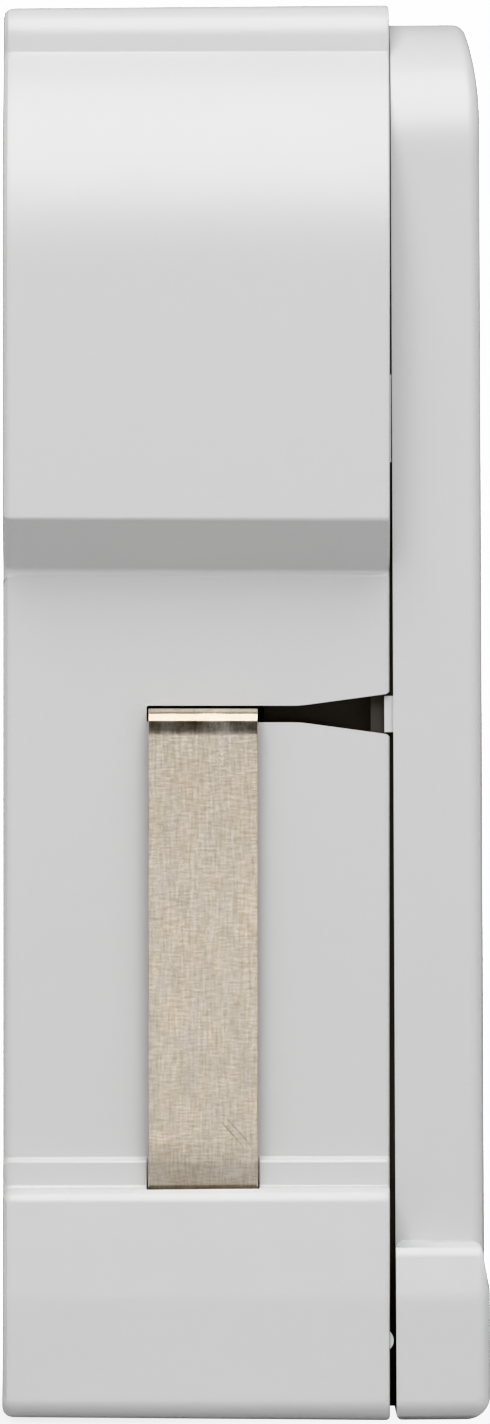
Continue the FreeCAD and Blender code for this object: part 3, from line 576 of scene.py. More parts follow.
def build_leaf(settings):
    """The sprung leaf: tail, tight roll that eases into the flat, and the tucked toe."""
    low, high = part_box("actuator_leaf")
    thick = settings.leaf_thickness
    radius = settings.leaf_bend_radius
    roll_deg = 90.0 - LEAF_EASE_DEG
    face_x = low.x + thick / 2.0
    roll_x = radius * math.sin(math.radians(roll_deg))
    ease_x = LEAF_EASE_RADIUS * (1.0 - math.sin(math.radians(roll_deg)))
    roll_z = radius * (1.0 - math.cos(math.radians(roll_deg)))
    ease_z = LEAF_EASE_RADIUS * math.cos(math.radians(roll_deg))
    middle_z = high.z - thick / 2.0
    tail = high.x - (face_x + roll_x + ease_x)
    flat = LEAF_TOE_DROP - roll_z - ease_z
    moves = [
        (tail, radius, roll_deg),
        (0.0, LEAF_EASE_RADIUS, LEAF_EASE_DEG),
        (flat, *LEAF_TOE_BENDS[0]),
        (LEAF_TOE_RUN, *LEAF_TOE_BENDS[1]),
        (LEAF_TOE_END, 0.0, 0.0),
    ]
    places = traced((high.x, middle_z), moves)
    work = swept_strip(places, low.y, high.y, thick, settings.leaf_edge)
    leaf = to_piece(work, "sprung_leaf")
    peg = Vector((high.x - LEAF_PEG_INSET, (low.y + high.y) / 2.0, middle_z))
    drilled(leaf, LEAF_PEG_RADIUS, peg, 2.0 * MM)
    soften(leaf, 40.0)
    dress(leaf, "actuator_leaf", ["nickel_spring_steel"])
    return leaf


# ---- what repeats: geometry nodes ---------------------------------------------------


def node_tree(name, sizes):
    """An empty geometry tree with a points input and named size inputs, all in metres."""
    tree = bpy.data.node_groups.new(name, "GeometryNodeTree")
    tree.interface.new_socket("Geometry", in_out="INPUT", socket_type="NodeSocketGeometry")
    tree.interface.new_socket("Geometry", in_out="OUTPUT", socket_type="NodeSocketGeometry")
    for size_name, value in sizes.items():
        socket = tree.interface.new_socket(size_name, in_out="INPUT", socket_type="NodeSocketFloat")
        socket.default_value = value
    return tree, add(tree, "NodeGroupInput"), add(tree, "NodeGroupOutput")


def finished(tree, given, unit, out, **more):
    """Puts the unit on every point and makes it real."""
    held = {"Points": given.outputs["Geometry"], "Instance": unit, **more}
    placed = add(tree, "GeometryNodeInstanceOnPoints", held)
    real = add(tree, "GeometryNodeRealizeInstances", {"Geometry": placed.outputs["Instances"]})
    tree.links.new(real.outputs["Geometry"], out.inputs["Geometry"])


def screw_tree(slot):
    """Cross-recess pan-head screw with a rolled thread, head on -Y, seat at the point."""
    sizes = {
        "Head Radius": BOARD_SCREW_HEAD[0],
        "Head Height": BOARD_SCREW_HEAD[1],
        "Shank Radius": 0.7 * MM,
        "Length": 4.5 * MM,
        "Pitch": 0.6 * MM,
        "Recess Width": 0.4 * MM,
    }
    tree, given, out = node_tree("cross_recess_screw", sizes)
    head_r, head_h = given.outputs["Head Radius"], given.outputs["Head Height"]
    shank_r, length, pitch = (
        given.outputs["Shank Radius"],
        given.outputs["Length"],
        given.outputs["Pitch"],
    )
    flank = add(
        tree,
        "GeometryNodeMeshCylinder",
        {
            "Vertices": 48,
            "Side Segments": 1,
            "Fill Segments": 1,
            "Radius": head_r,
            "Depth": add(
                tree,
                "ShaderNodeMath",
                {0: head_h, 1: 0.5},
                operation="MULTIPLY",
            ).outputs[0],
        },
    )
    brim = add(
        tree,
        "GeometryNodeTransform",
        {
            "Geometry": flank.outputs["Mesh"],
            "Translation": add(
                tree,
                "ShaderNodeCombineXYZ",
                {
                    0: 0.0,
                    1: 0.0,
                    2: add(
                        tree,
                        "ShaderNodeMath",
                        {0: head_h, 1: 0.25},
                        operation="MULTIPLY",
                    ).outputs[0],
                },
            ).outputs[0],
        },
    ).outputs["Geometry"]
    crown = add(
        tree,
        "GeometryNodeMeshCone",
        {
            "Vertices": 48,
            "Side Segments": 8,
            "Fill Segments": 1,
            "Radius Top": add(
                tree,
                "ShaderNodeMath",
                {0: head_r, 1: CROWN_SHARE},
                operation="MULTIPLY",
            ).outputs[0],
            "Radius Bottom": head_r,
            "Depth": add(
                tree,
                "ShaderNodeMath",
                {0: head_h, 1: 0.5},
                operation="MULTIPLY",
            ).outputs[0],
        },
    )
    place = add(tree, "GeometryNodeInputPosition")
    split = add(tree, "ShaderNodeSeparateXYZ", {"Vector": place.outputs[0]})
    rise = add(
        tree,
        "ShaderNodeMath",
        {
            0: split.outputs["Z"],
            1: add(tree, "ShaderNodeMath", {0: head_h, 1: 0.5}, operation="MULTIPLY").outputs[0],
        },
        operation="DIVIDE",
    ).outputs[0]
    bulge = add(
        tree,
        "ShaderNodeMath",
        {
            0: add(
                tree,
                "ShaderNodeMath",
                {
                    0: rise,
                    1: add(
                        tree,
                        "ShaderNodeMath",
                        {0: 1.0, 1: rise},
                        operation="SUBTRACT",
                    ).outputs[0],
                },
                operation="MULTIPLY",
            ).outputs[0],
            1: CROWN_SWELL,
        },
        operation="MULTIPLY",
    ).outputs[0]
    swell = add(tree, "ShaderNodeMath", {0: bulge, 1: 1.0}, operation="ADD").outputs[0]
    dome = add(tree, "GeometryNodeSetPosition", {"Geometry": crown.outputs["Mesh"]})
    rounded = add(
        tree,
        "ShaderNodeCombineXYZ",
        {
            0: add(
                tree,
                "ShaderNodeMath",
                {0: split.outputs["X"], 1: swell},
                operation="MULTIPLY",
            ).outputs[0],
            1: add(
                tree,
                "ShaderNodeMath",
                {0: split.outputs["Y"], 1: swell},
                operation="MULTIPLY",
            ).outputs[0],
            2: split.outputs["Z"],
        },
    ).outputs[0]
    tree.links.new(rounded, dome.inputs["Position"])
    top = add(
        tree,
        "GeometryNodeTransform",
        {
            "Geometry": dome.outputs["Geometry"],
            "Translation": add(
                tree,
                "ShaderNodeCombineXYZ",
                {
                    0: 0.0,
                    1: 0.0,
                    2: add(
                        tree,
                        "ShaderNodeMath",
                        {0: head_h, 1: 0.5},
                        operation="MULTIPLY",
                    ).outputs[0],
                },
            ).outputs[0],
        },
    ).outputs["Geometry"]
    head = add(tree, "GeometryNodeMeshBoolean", {"Mesh 2": [brim, top]}, operation="UNION")
    arm = add(
        tree,
        "ShaderNodeMath",
        {0: head_r, 1: RECESS_REACH},
        operation="MULTIPLY",
    ).outputs[0]
    width = given.outputs["Recess Width"]
    cuts = []
    for size in (
        add(tree, "ShaderNodeCombineXYZ", {0: arm, 1: width, 2: head_h}).outputs[0],
        add(tree, "ShaderNodeCombineXYZ", {0: width, 1: arm, 2: head_h}).outputs[0],
    ):
        slot_cut = add(tree, "GeometryNodeMeshCube", {"Size": size})
        cuts.append(
            add(
                tree,
                "GeometryNodeTransform",
                {
                    "Geometry": slot_cut.outputs["Mesh"],
                    "Translation": add(
                        tree,
                        "ShaderNodeCombineXYZ",
                        {0: 0.0, 1: 0.0, 2: head_h},
                    ).outputs[0],
                },
            ).outputs["Geometry"],
        )
    recessed = add(
        tree,
        "GeometryNodeMeshBoolean",
        {"Mesh 1": head.outputs["Mesh"], "Mesh 2": cuts},
        operation="DIFFERENCE",
    )
    core = add(
        tree,
        "GeometryNodeMeshCylinder",
        {
            "Vertices": 24,
            "Radius": add(
                tree,
                "ShaderNodeMath",
                {0: shank_r, 1: CORE_SHARE},
                operation="MULTIPLY",
            ).outputs[0],
            "Depth": length,
        },
    )
    shank = add(
        tree,
        "GeometryNodeTransform",
        {
            "Geometry": core.outputs["Mesh"],
            "Translation": add(
                tree,
                "ShaderNodeCombineXYZ",
                {
                    0: 0.0,
                    1: 0.0,
                    2: add(
                        tree,
                        "ShaderNodeMath",
                        {0: length, 1: -0.5},
                        operation="MULTIPLY",
                    ).outputs[0],
                },
            ).outputs[0],
        },
    ).outputs["Geometry"]
    turns = add(
        tree,
        "ShaderNodeMath",
        {
            0: add(
                tree,
                "ShaderNodeMath",
                {0: length, 1: THREADED_SHARE},
                operation="MULTIPLY",
            ).outputs[0],
            1: pitch,
        },
        operation="DIVIDE",
    ).outputs[0]
    helix = add(
        tree,
        "GeometryNodeCurveSpiral",
        {
            "Resolution": 24,
            "Rotations": turns,
            "Start Radius": add(
                tree,
                "ShaderNodeMath",
                {0: shank_r, 1: THREAD_SHARE},
                operation="MULTIPLY",
            ).outputs[0],
            "End Radius": add(
                tree,
                "ShaderNodeMath",
                {0: shank_r, 1: THREAD_SHARE},
                operation="MULTIPLY",
            ).outputs[0],
            "Height": add(
                tree,
                "ShaderNodeMath",
                {0: length, 1: THREADED_SHARE},
                operation="MULTIPLY",
            ).outputs[0],
        },
    )
    ridge = add(
        tree,
        "GeometryNodeCurvePrimitiveCircle",
        {
            "Resolution": 5,
            "Radius": add(
                tree,
                "ShaderNodeMath",
                {0: shank_r, 1: RIDGE_SHARE},
                operation="MULTIPLY",
            ).outputs[0],
        },
        mode="RADIUS",
    )
    swept = add(
        tree,
        "GeometryNodeCurveToMesh",
        {"Fill Caps": True, "Curve": helix.outputs["Curve"]},
    )
    tree.links.new(ridge.outputs["Curve"], swept.inputs["Profile Curve"])
    thread = add(
        tree,
        "GeometryNodeTransform",
        {
            "Geometry": swept.outputs["Mesh"],
            "Translation": add(
                tree,
                "ShaderNodeCombineXYZ",
                {
                    0: 0.0,
                    1: 0.0,
                    2: add(
                        tree,
                        "ShaderNodeMath",
                        {0: length, 1: -0.95},
                        operation="MULTIPLY",
                    ).outputs[0],
                },
            ).outputs[0],
        },
    ).outputs["Geometry"]
    whole = add(
        tree,
        "GeometryNodeSetMaterial",
        {
            "Geometry": add(
                tree,
                "GeometryNodeJoinGeometry",
                {"Geometry": [thread, shank, recessed.outputs["Mesh"]]},
            ).outputs["Geometry"],
            "Material": material_for(slot),
        },
    ).outputs["Geometry"]
    facing = add(
        tree,
        "GeometryNodeTransform",
        {
            "Geometry": whole,
            "Translation": add(tree, "ShaderNodeCombineXYZ", {0: 0.0, 1: 0.0, 2: 0.0}).outputs[0],
            "Rotation": (math.radians(90.0), 0.0, 0.0),
        },
    ).outputs["Geometry"]
    finished(tree, given, facing, out)
    return tree


def with_inputs(piece, tree, values):
    """Adds the tree as a modifier and sets its inputs by their identifiers."""
    modifier = piece.modifiers.new("repeat", "NODES")
    modifier.node_group = tree
    for item in tree.interface.items_tree:
        if item.item_type == "SOCKET" and item.in_out == "INPUT" and item.name in values:
            modifier[item.identifier] = values[item.name]
    return modifier


def made_real(piece):
    """Replaces the piece's points by the evaluated result as a plain mesh."""
    evaluated = piece.evaluated_get(bpy.context.evaluated_depsgraph_get())
    mesh = bpy.data.meshes.new_from_object(evaluated)
    piece.modifiers.clear()
    piece.data = mesh
    mesh.shade_smooth()
    mesh.set_sharp_from_angle(angle=math.radians(35.0))
    return piece


def points_piece(name, places):
    """An object that is only points, for a tree to work on."""
    mesh = bpy.data.meshes.new(name)
    mesh.from_pydata([tuple(place) for place in places], [], [])
    piece = bpy.data.objects.new(name, mesh)
    bpy.context.scene.collection.objects.link(piece)
    return piece


def claimed(piece, node):
    """The piece stands for a CAD node: it goes on that node's body and the node is hidden."""
    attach(piece, BODY_OF[node])
    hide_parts(node)


def build_screws(node, name, head_radius, head_height, settings):
    """Screws of one kind, each where its CAD solid is, all sized from the first solid's box."""
    boxes = islands(node)
    places = [
        ((low.x + high.x) / 2.0, low.y + head_height, (low.z + high.z) / 2.0) for low, high in boxes
    ]
    low, high = boxes[0]
    screws = points_piece(name, places)
    values = {
        "Head Radius": head_radius,
        "Head Height": head_height,
        "Shank Radius": head_radius * settings.shank_share,
        "Length": high.y - low.y - head_height,
        "Pitch": settings.thread_pitch,
        "Recess Width": head_radius * RECESS_SHARE,
    }
    with_inputs(screws, screw_tree(SLOT_OF[node]), values)
    made_real(screws)
    claimed(screws, node)


def chip_tree():
    """Fired chip body with a tinned cap at each end, on every point, in its own size."""
    tree, given, out = node_tree("end_capped_chips", {"Cap Share": 0.24, "Cap Proud": 0.03 * MM})
    size = add(tree, "GeometryNodeInputNamedAttribute", {"Name": "size"}, data_type="FLOAT_VECTOR")
    upright = add(tree, "GeometryNodeInputNamedAttribute", {"Name": "upright"}, data_type="FLOAT")
    body = add(tree, "GeometryNodeMeshCube", {"Size": (0.96, 1.0, 0.94)})
    share = given.outputs["Cap Share"]
    cap = add(
        tree,
        "GeometryNodeMeshCube",
        {"Size": add(tree, "ShaderNodeCombineXYZ", {0: share, 1: 1.0, 2: 1.0}).outputs[0]},
    )
    shift = add(
        tree,
        "ShaderNodeMath",
        {
            0: add(tree, "ShaderNodeMath", {0: 1.0, 1: share}, operation="SUBTRACT").outputs[0],
            1: 0.5,
        },
        operation="MULTIPLY",
    ).outputs[0]
    left = add(
        tree,
        "GeometryNodeTransform",
        {
            "Geometry": cap.outputs["Mesh"],
            "Translation": add(
                tree,
                "ShaderNodeCombineXYZ",
                {
                    0: add(
                        tree,
                        "ShaderNodeMath",
                        {0: shift, 1: -1.0},
                        operation="MULTIPLY",
                    ).outputs[0],
                    1: 0.0,
                    2: 0.0,
                },
            ).outputs[0],
        },
    ).outputs["Geometry"]
    right = add(
        tree,
        "GeometryNodeTransform",
        {
            "Geometry": cap.outputs["Mesh"],
            "Translation": add(
                tree,
                "ShaderNodeCombineXYZ",
                {0: shift, 1: 0.0, 2: 0.0},
            ).outputs[0],
        },
    ).outputs["Geometry"]
    core = add(
        tree,
        "GeometryNodeTransform",
        {"Scale": (1.0, 0.94, 1.0), "Geometry": body.outputs["Mesh"]},
    )
    unit = add(
        tree,
        "GeometryNodeJoinGeometry",
        {
            "Geometry": [
                add(
                    tree,
                    "GeometryNodeSetMaterial",
                    {"Geometry": right, "Material": material_for("chip_ends")},
                ).outputs["Geometry"],
                add(
                    tree,
                    "GeometryNodeSetMaterial",
                    {"Geometry": left, "Material": material_for("chip_ends")},
                ).outputs["Geometry"],
                add(
                    tree,
                    "GeometryNodeSetMaterial",
                    {
                        "Geometry": core.outputs["Geometry"],
                        "Material": material_for("ceramic_chips"),
                    },
                ).outputs["Geometry"],
            ],
        },
    ).outputs["Geometry"]
    turn = add(
        tree,
        "ShaderNodeCombineXYZ",
        {
            0: 0.0,
            1: add(
                tree,
                "ShaderNodeMath",
                {0: upright.outputs["Attribute"], 1: math.pi / 2.0},
                operation="MULTIPLY",
            ).outputs[0],
            2: 0.0,
        },
    ).outputs[0]
    finished(tree, given, unit, out, Scale=size.outputs["Attribute"], Rotation=turn)
    return tree


def leg_tree():
    """Gull-wing lead: out of the package, down and out onto the board."""
    sizes = {"Width": 0.3 * MM, "Gauge": 0.12 * MM, "Reach": 0.4 * MM, "Drop": 0.5 * MM}
    tree, given, out = node_tree("gull_wing_leads", sizes)
    width, gauge = given.outputs["Width"], given.outputs["Gauge"]
    reach, drop = given.outputs["Reach"], given.outputs["Drop"]
    half = add(tree, "ShaderNodeMath", {0: reach, 1: 0.5}, operation="MULTIPLY").outputs[0]
    flat = add(tree, "ShaderNodeCombineXYZ", {0: half, 1: gauge, 2: width}).outputs[0]
    shoulder = add(tree, "GeometryNodeMeshCube", {"Size": flat})
    fall = add(
        tree,
        "GeometryNodeMeshCube",
        {"Size": add(tree, "ShaderNodeCombineXYZ", {0: gauge, 1: drop, 2: width}).outputs[0]},
    )
    foot = add(tree, "GeometryNodeMeshCube", {"Size": flat})
    parts = [
        add(
            tree,
            "GeometryNodeTransform",
            {
                "Geometry": shoulder.outputs["Mesh"],
                "Translation": add(
                    tree,
                    "ShaderNodeCombineXYZ",
                    {
                        0: add(
                            tree,
                            "ShaderNodeMath",
                            {0: half, 1: 0.5},
                            operation="MULTIPLY",
                        ).outputs[0],
                        1: 0.0,
                        2: 0.0,
                    },
                ).outputs[0],
            },
        ).outputs["Geometry"],
        add(
            tree,
            "GeometryNodeTransform",
            {
                "Geometry": fall.outputs["Mesh"],
                "Translation": add(
                    tree,
                    "ShaderNodeCombineXYZ",
                    {
                        0: half,
                        1: add(
                            tree,
                            "ShaderNodeMath",
                            {0: drop, 1: 0.5},
                            operation="MULTIPLY",
                        ).outputs[0],
                        2: 0.0,
                    },
                ).outputs[0],
            },
        ).outputs["Geometry"],
        add(
            tree,
            "GeometryNodeTransform",
            {
                "Geometry": foot.outputs["Mesh"],
                "Translation": add(
                    tree,
                    "ShaderNodeCombineXYZ",
                    {
                        0: add(
                            tree,
                            "ShaderNodeMath",
                            {0: half, 1: 1.5},
                            operation="MULTIPLY",
                        ).outputs[0],
                        1: drop,
                        2: 0.0,
                    },
                ).outputs[0],
            },
        ).outputs["Geometry"],
    ]
    facing = add(tree, "GeometryNodeInputNamedAttribute", {"Name": "facing"}, data_type="FLOAT")
    unit = add(
        tree,
        "GeometryNodeSetMaterial",
        {
            "Geometry": add(
                tree,
                "GeometryNodeJoinGeometry",
                {"Geometry": parts[::-1]},
            ).outputs["Geometry"],
            "Material": material_for("chip_ends"),
        },
    ).outputs["Geometry"]
    turn = add(
        tree,
        "ShaderNodeCombineXYZ",
        {0: 0.0, 1: facing.outputs["Attribute"], 2: 0.0},
    ).outputs[0]
    finished(tree, given, unit, out, Rotation=turn)
    return tree


def with_attribute(piece, name, kind, values):
    data = piece.data.attributes.new(name, kind, "POINT").data
    for item, value in zip(data, values):
        if kind == "FLOAT_VECTOR":
            item.vector = value
        else:
            item.value = value


def package_bodies(boxes, name, slot, draft_mm=0.08):
    """Moulded bodies with drafted sides and eased edges, one per box."""
    work = bmesh.new()
    for low, high in boxes:
        made = bmesh.ops.create_cube(work, size=1.0)["verts"]
        for vertex in made:
            corner = vertex.co + Vector((0.5, 0.5, 0.5))
            vertex.co = Vector([low[i] + corner[i] * (high[i] - low[i]) for i in range(3)])
            if vertex.co.y < (low.y + high.y) / 2.0:
                centre = (low + high) / 2.0
                for i in (0, 2):
                    vertex.co[i] += math.copysign(draft_mm * MM, centre[i] - vertex.co[i])
    bmesh.ops.bevel(
        work, geom=work.edges[:], offset=0.06 * MM, segments=2, affect="EDGES", profile=0.5
    )
    piece = to_piece(work, name)
    piece.data.materials.append(material_for(slot))
    soften(piece, 50.0)
    return piece


def build_board_parts():
    """End-capped chips, moulded packages and their leads, from the CAD solids' boxes."""
    boxes = islands("board_parts")
    chips, packages = [], []
    for low, high in boxes:
        longest = max(high.x - low.x, high.z - low.z)
        (chips if longest < LONGEST_CHIP else packages).append((low, high))
    sizes, upright, centres = [], [], []
    for low, high in chips:
        span = high - low
        tall = span.z > span.x
        sizes.append((max(span.x, span.z), span.y, min(span.x, span.z)))
        upright.append(1.0 if tall else 0.0)
        centres.append((low + high) / 2.0)
    chip_piece = points_piece("end_capped_chips", centres)
    with_attribute(chip_piece, "size", "FLOAT_VECTOR", sizes)
    with_attribute(chip_piece, "upright", "FLOAT", upright)
    with_inputs(chip_piece, chip_tree(), {"Cap Share": 0.24})
    made_real(chip_piece)
    claimed(chip_piece, "board_parts")
    bodies = package_bodies(packages, "moulded_packages", "moulded_epoxy")
    claimed(bodies, "board_parts")
    build_leads(packages + [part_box("control_chip")], "package_leads", "board_parts")


def build_leads(boxes, name, node):
    """Leads down the two long sides of each package, at a 0.65 mm pitch."""
    places, facing = [], []
    for low, high in boxes:
        low, high = Vector(low), Vector(high)
        count = max(2, int((high.z - low.z - 0.5 * MM) / LEAD_PITCH))
        middle = (low.z + high.z) / 2.0
        for i in range(count):
            z = middle + (i - (count - 1) / 2.0) * LEAD_PITCH
            for x, angle in ((high.x - LEAD_SUNK, 0.0), (low.x + LEAD_SUNK, math.pi)):
                places.append((x, high.y - LEAD_DROP - 0.06 * MM, z))
                facing.append(angle)
    leads = points_piece(name, places)
    with_attribute(leads, "facing", "FLOAT", facing)
    with_inputs(leads, leg_tree(), {"Drop": LEAD_DROP})
    made_real(leads)
    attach(leads, BODY_OF[node])
    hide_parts(node)


# ---- studio -------------------------------------------------------------------------


def area_light(name, place, aim, size, power, colour="FFFFFF"):
    data = bpy.data.lights.new(name, "AREA")
    data.shape = "RECTANGLE"
    data.size = size[0]
    data.size_y = size[1]
    data.energy = power
    data.color = linear(colour)[:3]
    lamp = bpy.data.objects.new(name, data)
    lamp.location = place
    lamp.rotation_euler = (Vector(aim) - Vector(place)).to_track_quat("-Z", "Y").to_euler()
    bpy.context.scene.collection.objects.link(lamp)
    return lamp


def build_world(settings):
    """White surroundings to look at; what they light with is softer and shaped.

    The light is stronger from above than from below.  On the leaf side there is a pale
    card round the lens and a dark gap above it, which gives the rolled metal its dark line.
    """
    world = bpy.data.worlds.new("studio_air")
    world.use_nodes = True
    tree = world.node_tree
    tree.nodes.clear()
    towards = add(tree, "ShaderNodeTexCoord").outputs["Generated"]
    parts = add(tree, "ShaderNodeSeparateXYZ", {"Vector": towards})
    rise = parts.outputs["Z"]
    dome = spread(tree, rise, settings.ground, settings.ambient, -0.35, 0.4)
    leaf_side = spread(tree, parts.outputs["X"], 0.0, 1.0, -0.88, -0.95)
    card_top = spread(tree, rise, settings.card, 0.0, -0.01, 0.05)
    card_foot = spread(tree, rise, 0.0, 1.0, -0.4, -0.25)
    card = add(tree, "ShaderNodeMath", {0: card_top, 1: card_foot}, operation="MULTIPLY")
    above = spread(tree, rise, settings.gap, settings.ambient, 0.3, 0.4)
    front = add(tree, "ShaderNodeMath", {0: card.outputs[0], 1: above}, operation="MAXIMUM")
    level = add(tree, "ShaderNodeMix", {0: leaf_side, 2: dome, 3: front.outputs[0]})
    soft = add(tree, "ShaderNodeBackground", {"Color": (1, 1, 1, 1), "Strength": level.outputs[0]})
    seen = add(tree, "ShaderNodeBackground", {"Color": (1, 1, 1, 1), "Strength": WHITE_OUT})
    path = add(tree, "ShaderNodeLightPath")
    mix = add(tree, "ShaderNodeMixShader", {0: path.outputs["Is Camera Ray"]})
    tree.links.new(soft.outputs[0], mix.inputs[1])
    tree.links.new(seen.outputs[0], mix.inputs[2])
    out = add(tree, "ShaderNodeOutputWorld")
    tree.links.new(mix.outputs[0], out.inputs["Surface"])
    bpy.context.scene.world = world


def build_floor(settings):
    """Pale card under the object that fades into the white surroundings."""
    level = CAD_BOX[0][2] - 0.2 * MM
    work = bmesh.new()
    bmesh.ops.create_circle(work, cap_ends=True, segments=96, radius=settings.floor_size / 2.0)
    bmesh.ops.translate(work, verts=work.verts, vec=(0.0, 0.0, level))
    floor = to_piece(work, "studio_floor")
    material, tree, shader, coords = surface("matt_card", "C4C4C4", 0.85)
    relief(tree, shader, [(noise(tree, coords, 0.8), 10.0)])
    away = add(tree, "ShaderNodeVectorMath", {0: coords}, operation="LENGTH")
    fade = spread(tree, away.outputs["Value"], 0.5, WHITE_OUT, 0.03, 0.16)
    path = add(tree, "ShaderNodeLightPath")
    glow = add(
        tree,
        "ShaderNodeMath",
        {0: fade, 1: path.outputs["Is Camera Ray"]},
        operation="MULTIPLY",
    )
    shader.inputs["Emission Color"].default_value = (1.0, 1.0, 1.0, 1.0)
    tree.links.new(glow.outputs[0], shader.inputs["Emission Strength"])
    floor.data.materials.append(material)


def build_lights(settings):
    """One tall strip softbox in the plane of the lens, from above the gap to overhead."""
    middle = Vector((CAD_BOX[0][0], -0.012, 0.0))
    towards = Vector((-math.cos(SOFTBOX_RISE), 0.0, math.sin(SOFTBOX_RISE)))
    place = middle + towards * SOFTBOX_REACH
    size = [2.0 * math.tan(half) * SOFTBOX_REACH for half in (SOFTBOX_HALF_WIDE, SOFTBOX_HALF_TALL)]
    area_light("strip_softbox", place, middle, size, settings.strip_power)


def build_camera(settings):
    """Lens square on to the leaf side, framing the whole height."""
    low, high = Vector(CAD_BOX[0]), Vector(CAD_BOX[1])
    data = bpy.data.cameras.new("studio_camera")
    data.sensor_width = SENSOR_WIDTH
    data.lens = data.sensor_width * settings.camera_distance / FRAME_HEIGHT
    data.clip_start = 0.01
    camera = bpy.data.objects.new("studio_camera", data)
    centre_z = (low.z + high.z) / 2.0 - FRAME_DROP
    camera.location = (low.x - settings.camera_distance, FRAME_CENTRE_Y, centre_z)
    camera.rotation_euler = (math.radians(90.0), 0.0, math.radians(-90.0))
    bpy.context.scene.collection.objects.link(camera)
    bpy.context.scene.camera = camera


# ---- settings -----------------------------------------------------------------------


class SensorFinish(PropertyGroup):
    white_plastic: FloatVectorProperty(
        name="White plastic",
        description="Colour of the moulded housing and cover",
        subtype="COLOR",
        size=3,
        min=0.0,
        max=1.0,
        default=linear("D7D7D7")[:3],
    )
    plastic_roughness: FloatProperty(
        name="Plastic roughness",
        description="Satin finish of the white mouldings",
        default=0.34,
        min=0.05,
        max=1.0,
        subtype="FACTOR",
    )


class SensorLeaf(PropertyGroup):
    leaf_thickness: FloatProperty(
        name="Thickness",
        description="Gauge of the spring strip",
        default=0.25 * MM,
        min=0.1 * MM,
        max=0.5 * MM,
        precision=5,
        unit="LENGTH",
    )
    leaf_bend_radius: FloatProperty(
        name="Roll radius",
        description="Radius of the tight roll, to the middle of the strip",
        default=0.675 * MM,
        min=0.3 * MM,
        max=2.0 * MM,
        precision=5,
        unit="LENGTH",
    )
    leaf_edge: FloatProperty(
        name="Edge",
        description="Rounding of the slit edges",
        default=0.05 * MM,
        min=0.01 * MM,
        max=0.1 * MM,
        precision=5,
        unit="LENGTH",
    )


class SensorFasteners(PropertyGroup):
    thread_pitch: FloatProperty(
        name="Thread pitch",
        description="Pitch of the thread-forming screws",
        default=0.6 * MM,
        min=0.2 * MM,
        precision=5,
        unit="LENGTH",
    )
    shank_share: FloatProperty(
        name="Shank share",
        description="Shank radius as a share of the head radius",
        default=0.38,
        min=0.2,
        max=0.8,
        subtype="FACTOR",
    )


class SensorStudio(PropertyGroup):
    camera_distance: FloatProperty(
        name="Camera distance",
        description="From the lens to the leaf side of the sensor",
        default=1.0,
        min=0.2,
        unit="LENGTH",
    )
    strip_power: FloatProperty(
        name="Strip power",
        description="Power of the tall strip softbox",
        default=21.0,
        min=0.0,
        unit="POWER",
    )
    ambient: FloatProperty(
        name="Ambient",
        description="Strength of the even light from above",
        default=0.3,
        min=0.0,
    )
    ground: FloatProperty(
        name="Ground light",
        description="Strength of the even light from below",
        default=0.72,
        min=0.0,
    )
    card: FloatProperty(
        name="Card",
        description="Brightness of the pale card round the lens",
        default=1.25,
        min=0.0,
    )
    gap: FloatProperty(
        name="Gap",
        description="Brightness of the dark gap between the card and the softbox",
        default=0.05,
        min=0.0,
    )
    floor_size: FloatProperty(
        name="Floor size",
        description="Width of the pale floor",
        default=0.5,
        min=0.2,
        unit="LENGTH",
    )


# ---- operators ----------------------------------------------------------------------


class SENSOR_OT_stage(Operator):
    """Build the floor, the lights and the camera"""

    bl_idname = "sensor.stage"
    bl_label = "Studio"

    def execute(self, context):
        settings = context.scene.sensor_studio
        context.scene.view_settings.view_transform = "Khronos PBR Neutral"
        context.scene.view_settings.look = "None"
        build_world(settings)
        build_floor(settings)
        build_lights(settings)
        build_camera(settings)
        return {"FINISHED"}


class SENSOR_OT_mouldings(Operator):
    """Dress the rear housing, the front cover, the inner chassis and the light pipe"""

    bl_idname = "sensor.mouldings"
    bl_label = "Mouldings"

    def execute(self, context):
        for node in ("rear_housing", "front_cover", "inner_chassis"):
            dressed_copy(node)
        dressed_copy("light_pipe", 35.0)
        return {"FINISHED"}


class SENSOR_OT_leaf(Operator):
    """Dress the sprung leaf"""

    bl_idname = "sensor.leaf"
    bl_label = "Sprung leaf"

    def execute(self, context):
        build_leaf(context.scene.sensor_leaf)
        return {"FINISHED"}


class SENSOR_OT_screws(Operator):
    """Build the cross-recess screws of the chassis, the board and the leaf clamp"""

    bl_idname = "sensor.screws"
    bl_label = "Screws"

    def execute(self, context):
        settings = context.scene.sensor_fasteners
        build_screws("board_screws", "board_fixing_screws", *BOARD_SCREW_HEAD, settings)
        build_screws("chassis_screws", "chassis_fixing_screws", *CHASSIS_SCREW_HEAD, settings)
        dressed_copy("clamp_screw")
        return {"FINISHED"}


class SENSOR_OT_board_parts(Operator):
    """Build the chips, the moulded packages and their leads"""

    bl_idname = "sensor.board_parts"
    bl_label = "Board parts"

    def execute(self, context):
        build_board_parts()
        return {"FINISHED"}


class SENSOR_OT_board(Operator):
    """Dress the board, the radio module and what is soldered to them"""

    bl_idname = "sensor.board"
    bl_label = "Circuit board"

    def execute(self, context):
        for node in ("circuit_board", "radio_board", "control_chip", "antenna_strip", "status_led"):
            dressed_copy(node)
        for node in ("radio_shield", "crystal_can", "pair_switch", "pair_button"):
            dressed_copy(node, 30.0, 0.06)
        return {"FINISHED"}


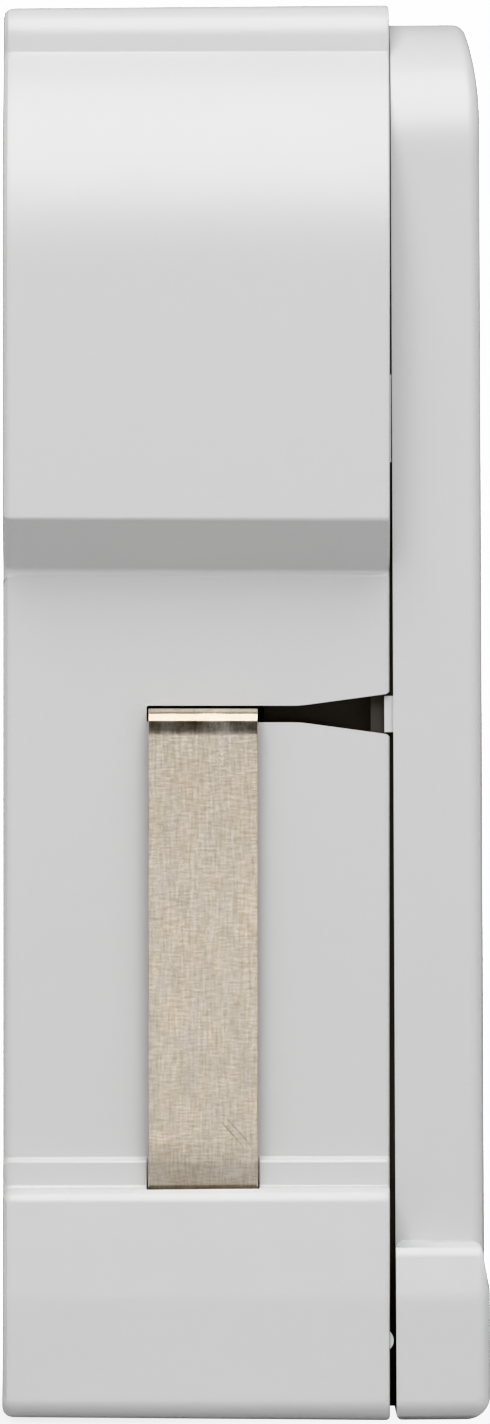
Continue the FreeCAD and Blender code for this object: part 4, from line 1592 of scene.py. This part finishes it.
class SENSOR_OT_cell(Operator):
    """Dress the cell, its sleeve and its two contacts"""

    bl_idname = "sensor.cell"
    bl_label = "Cell and contacts"

    def execute(self, context):
        for node in ("battery_can", "battery_sleeve", "battery_cap"):
            dressed_copy(node, 35.0)
        for node in ("contact_plus", "contact_minus"):
            dressed_copy(node, 30.0, 0.03)
        return {"FINISHED"}


class SENSOR_OT_switch(Operator):
    """Dress the snap switch, the push pin and the leaf's clamp"""

    bl_idname = "sensor.switch"
    bl_label = "Switch and push pin"

    def execute(self, context):
        for node in ("switch_case", "switch_button", "switch_terminals", "push_pin", "leaf_clamp"):
            dressed_copy(node, 30.0, 0.03)
        return {"FINISHED"}


class SENSOR_PT_panel(Panel):
    bl_label = "Door contact sensor"
    bl_idname = "SENSOR_PT_panel"
    bl_space_type = "VIEW_3D"
    bl_region_type = "UI"
    bl_category = "Sensor"

    def draw(self, context):
        layout = self.layout
        scene = context.scene
        groups = (scene.sensor_finish, scene.sensor_leaf, scene.sensor_fasteners, scene.sensor_studio)
        for settings in groups:
            box = layout.box()
            for name in settings.__annotations__:
                box.prop(settings, name)
        for operator in OPERATORS:
            layout.operator(operator.bl_idname)


OPERATORS = (
    SENSOR_OT_stage,
    SENSOR_OT_mouldings,
    SENSOR_OT_leaf,
    SENSOR_OT_switch,
    SENSOR_OT_screws,
    SENSOR_OT_board,
    SENSOR_OT_board_parts,
    SENSOR_OT_cell,
)
CLASSES = (SensorFinish, SensorLeaf, SensorFasteners, SensorStudio, *OPERATORS, SENSOR_PT_panel)


def register():
    for cls in CLASSES:
        bpy.utils.register_class(cls)
    bpy.types.Scene.sensor_finish = PointerProperty(type=SensorFinish)
    bpy.types.Scene.sensor_leaf = PointerProperty(type=SensorLeaf)
    bpy.types.Scene.sensor_fasteners = PointerProperty(type=SensorFasteners)
    bpy.types.Scene.sensor_studio = PointerProperty(type=SensorStudio)


def unregister():
    del bpy.types.Scene.sensor_studio
    del bpy.types.Scene.sensor_fasteners
    del bpy.types.Scene.sensor_leaf
    del bpy.types.Scene.sensor_finish
    for cls in reversed(CLASSES):
        bpy.utils.unregister_class(cls)


def main():
    register()
    bpy.ops.sensor.stage()
    bpy.ops.sensor.mouldings()
    bpy.ops.sensor.leaf()
    bpy.ops.sensor.switch()
    bpy.ops.sensor.screws()
    bpy.ops.sensor.board()
    bpy.ops.sensor.board_parts()
    bpy.ops.sensor.cell()
    bpy.context.view_layer.update()


if __name__ == "__main__":
    main()
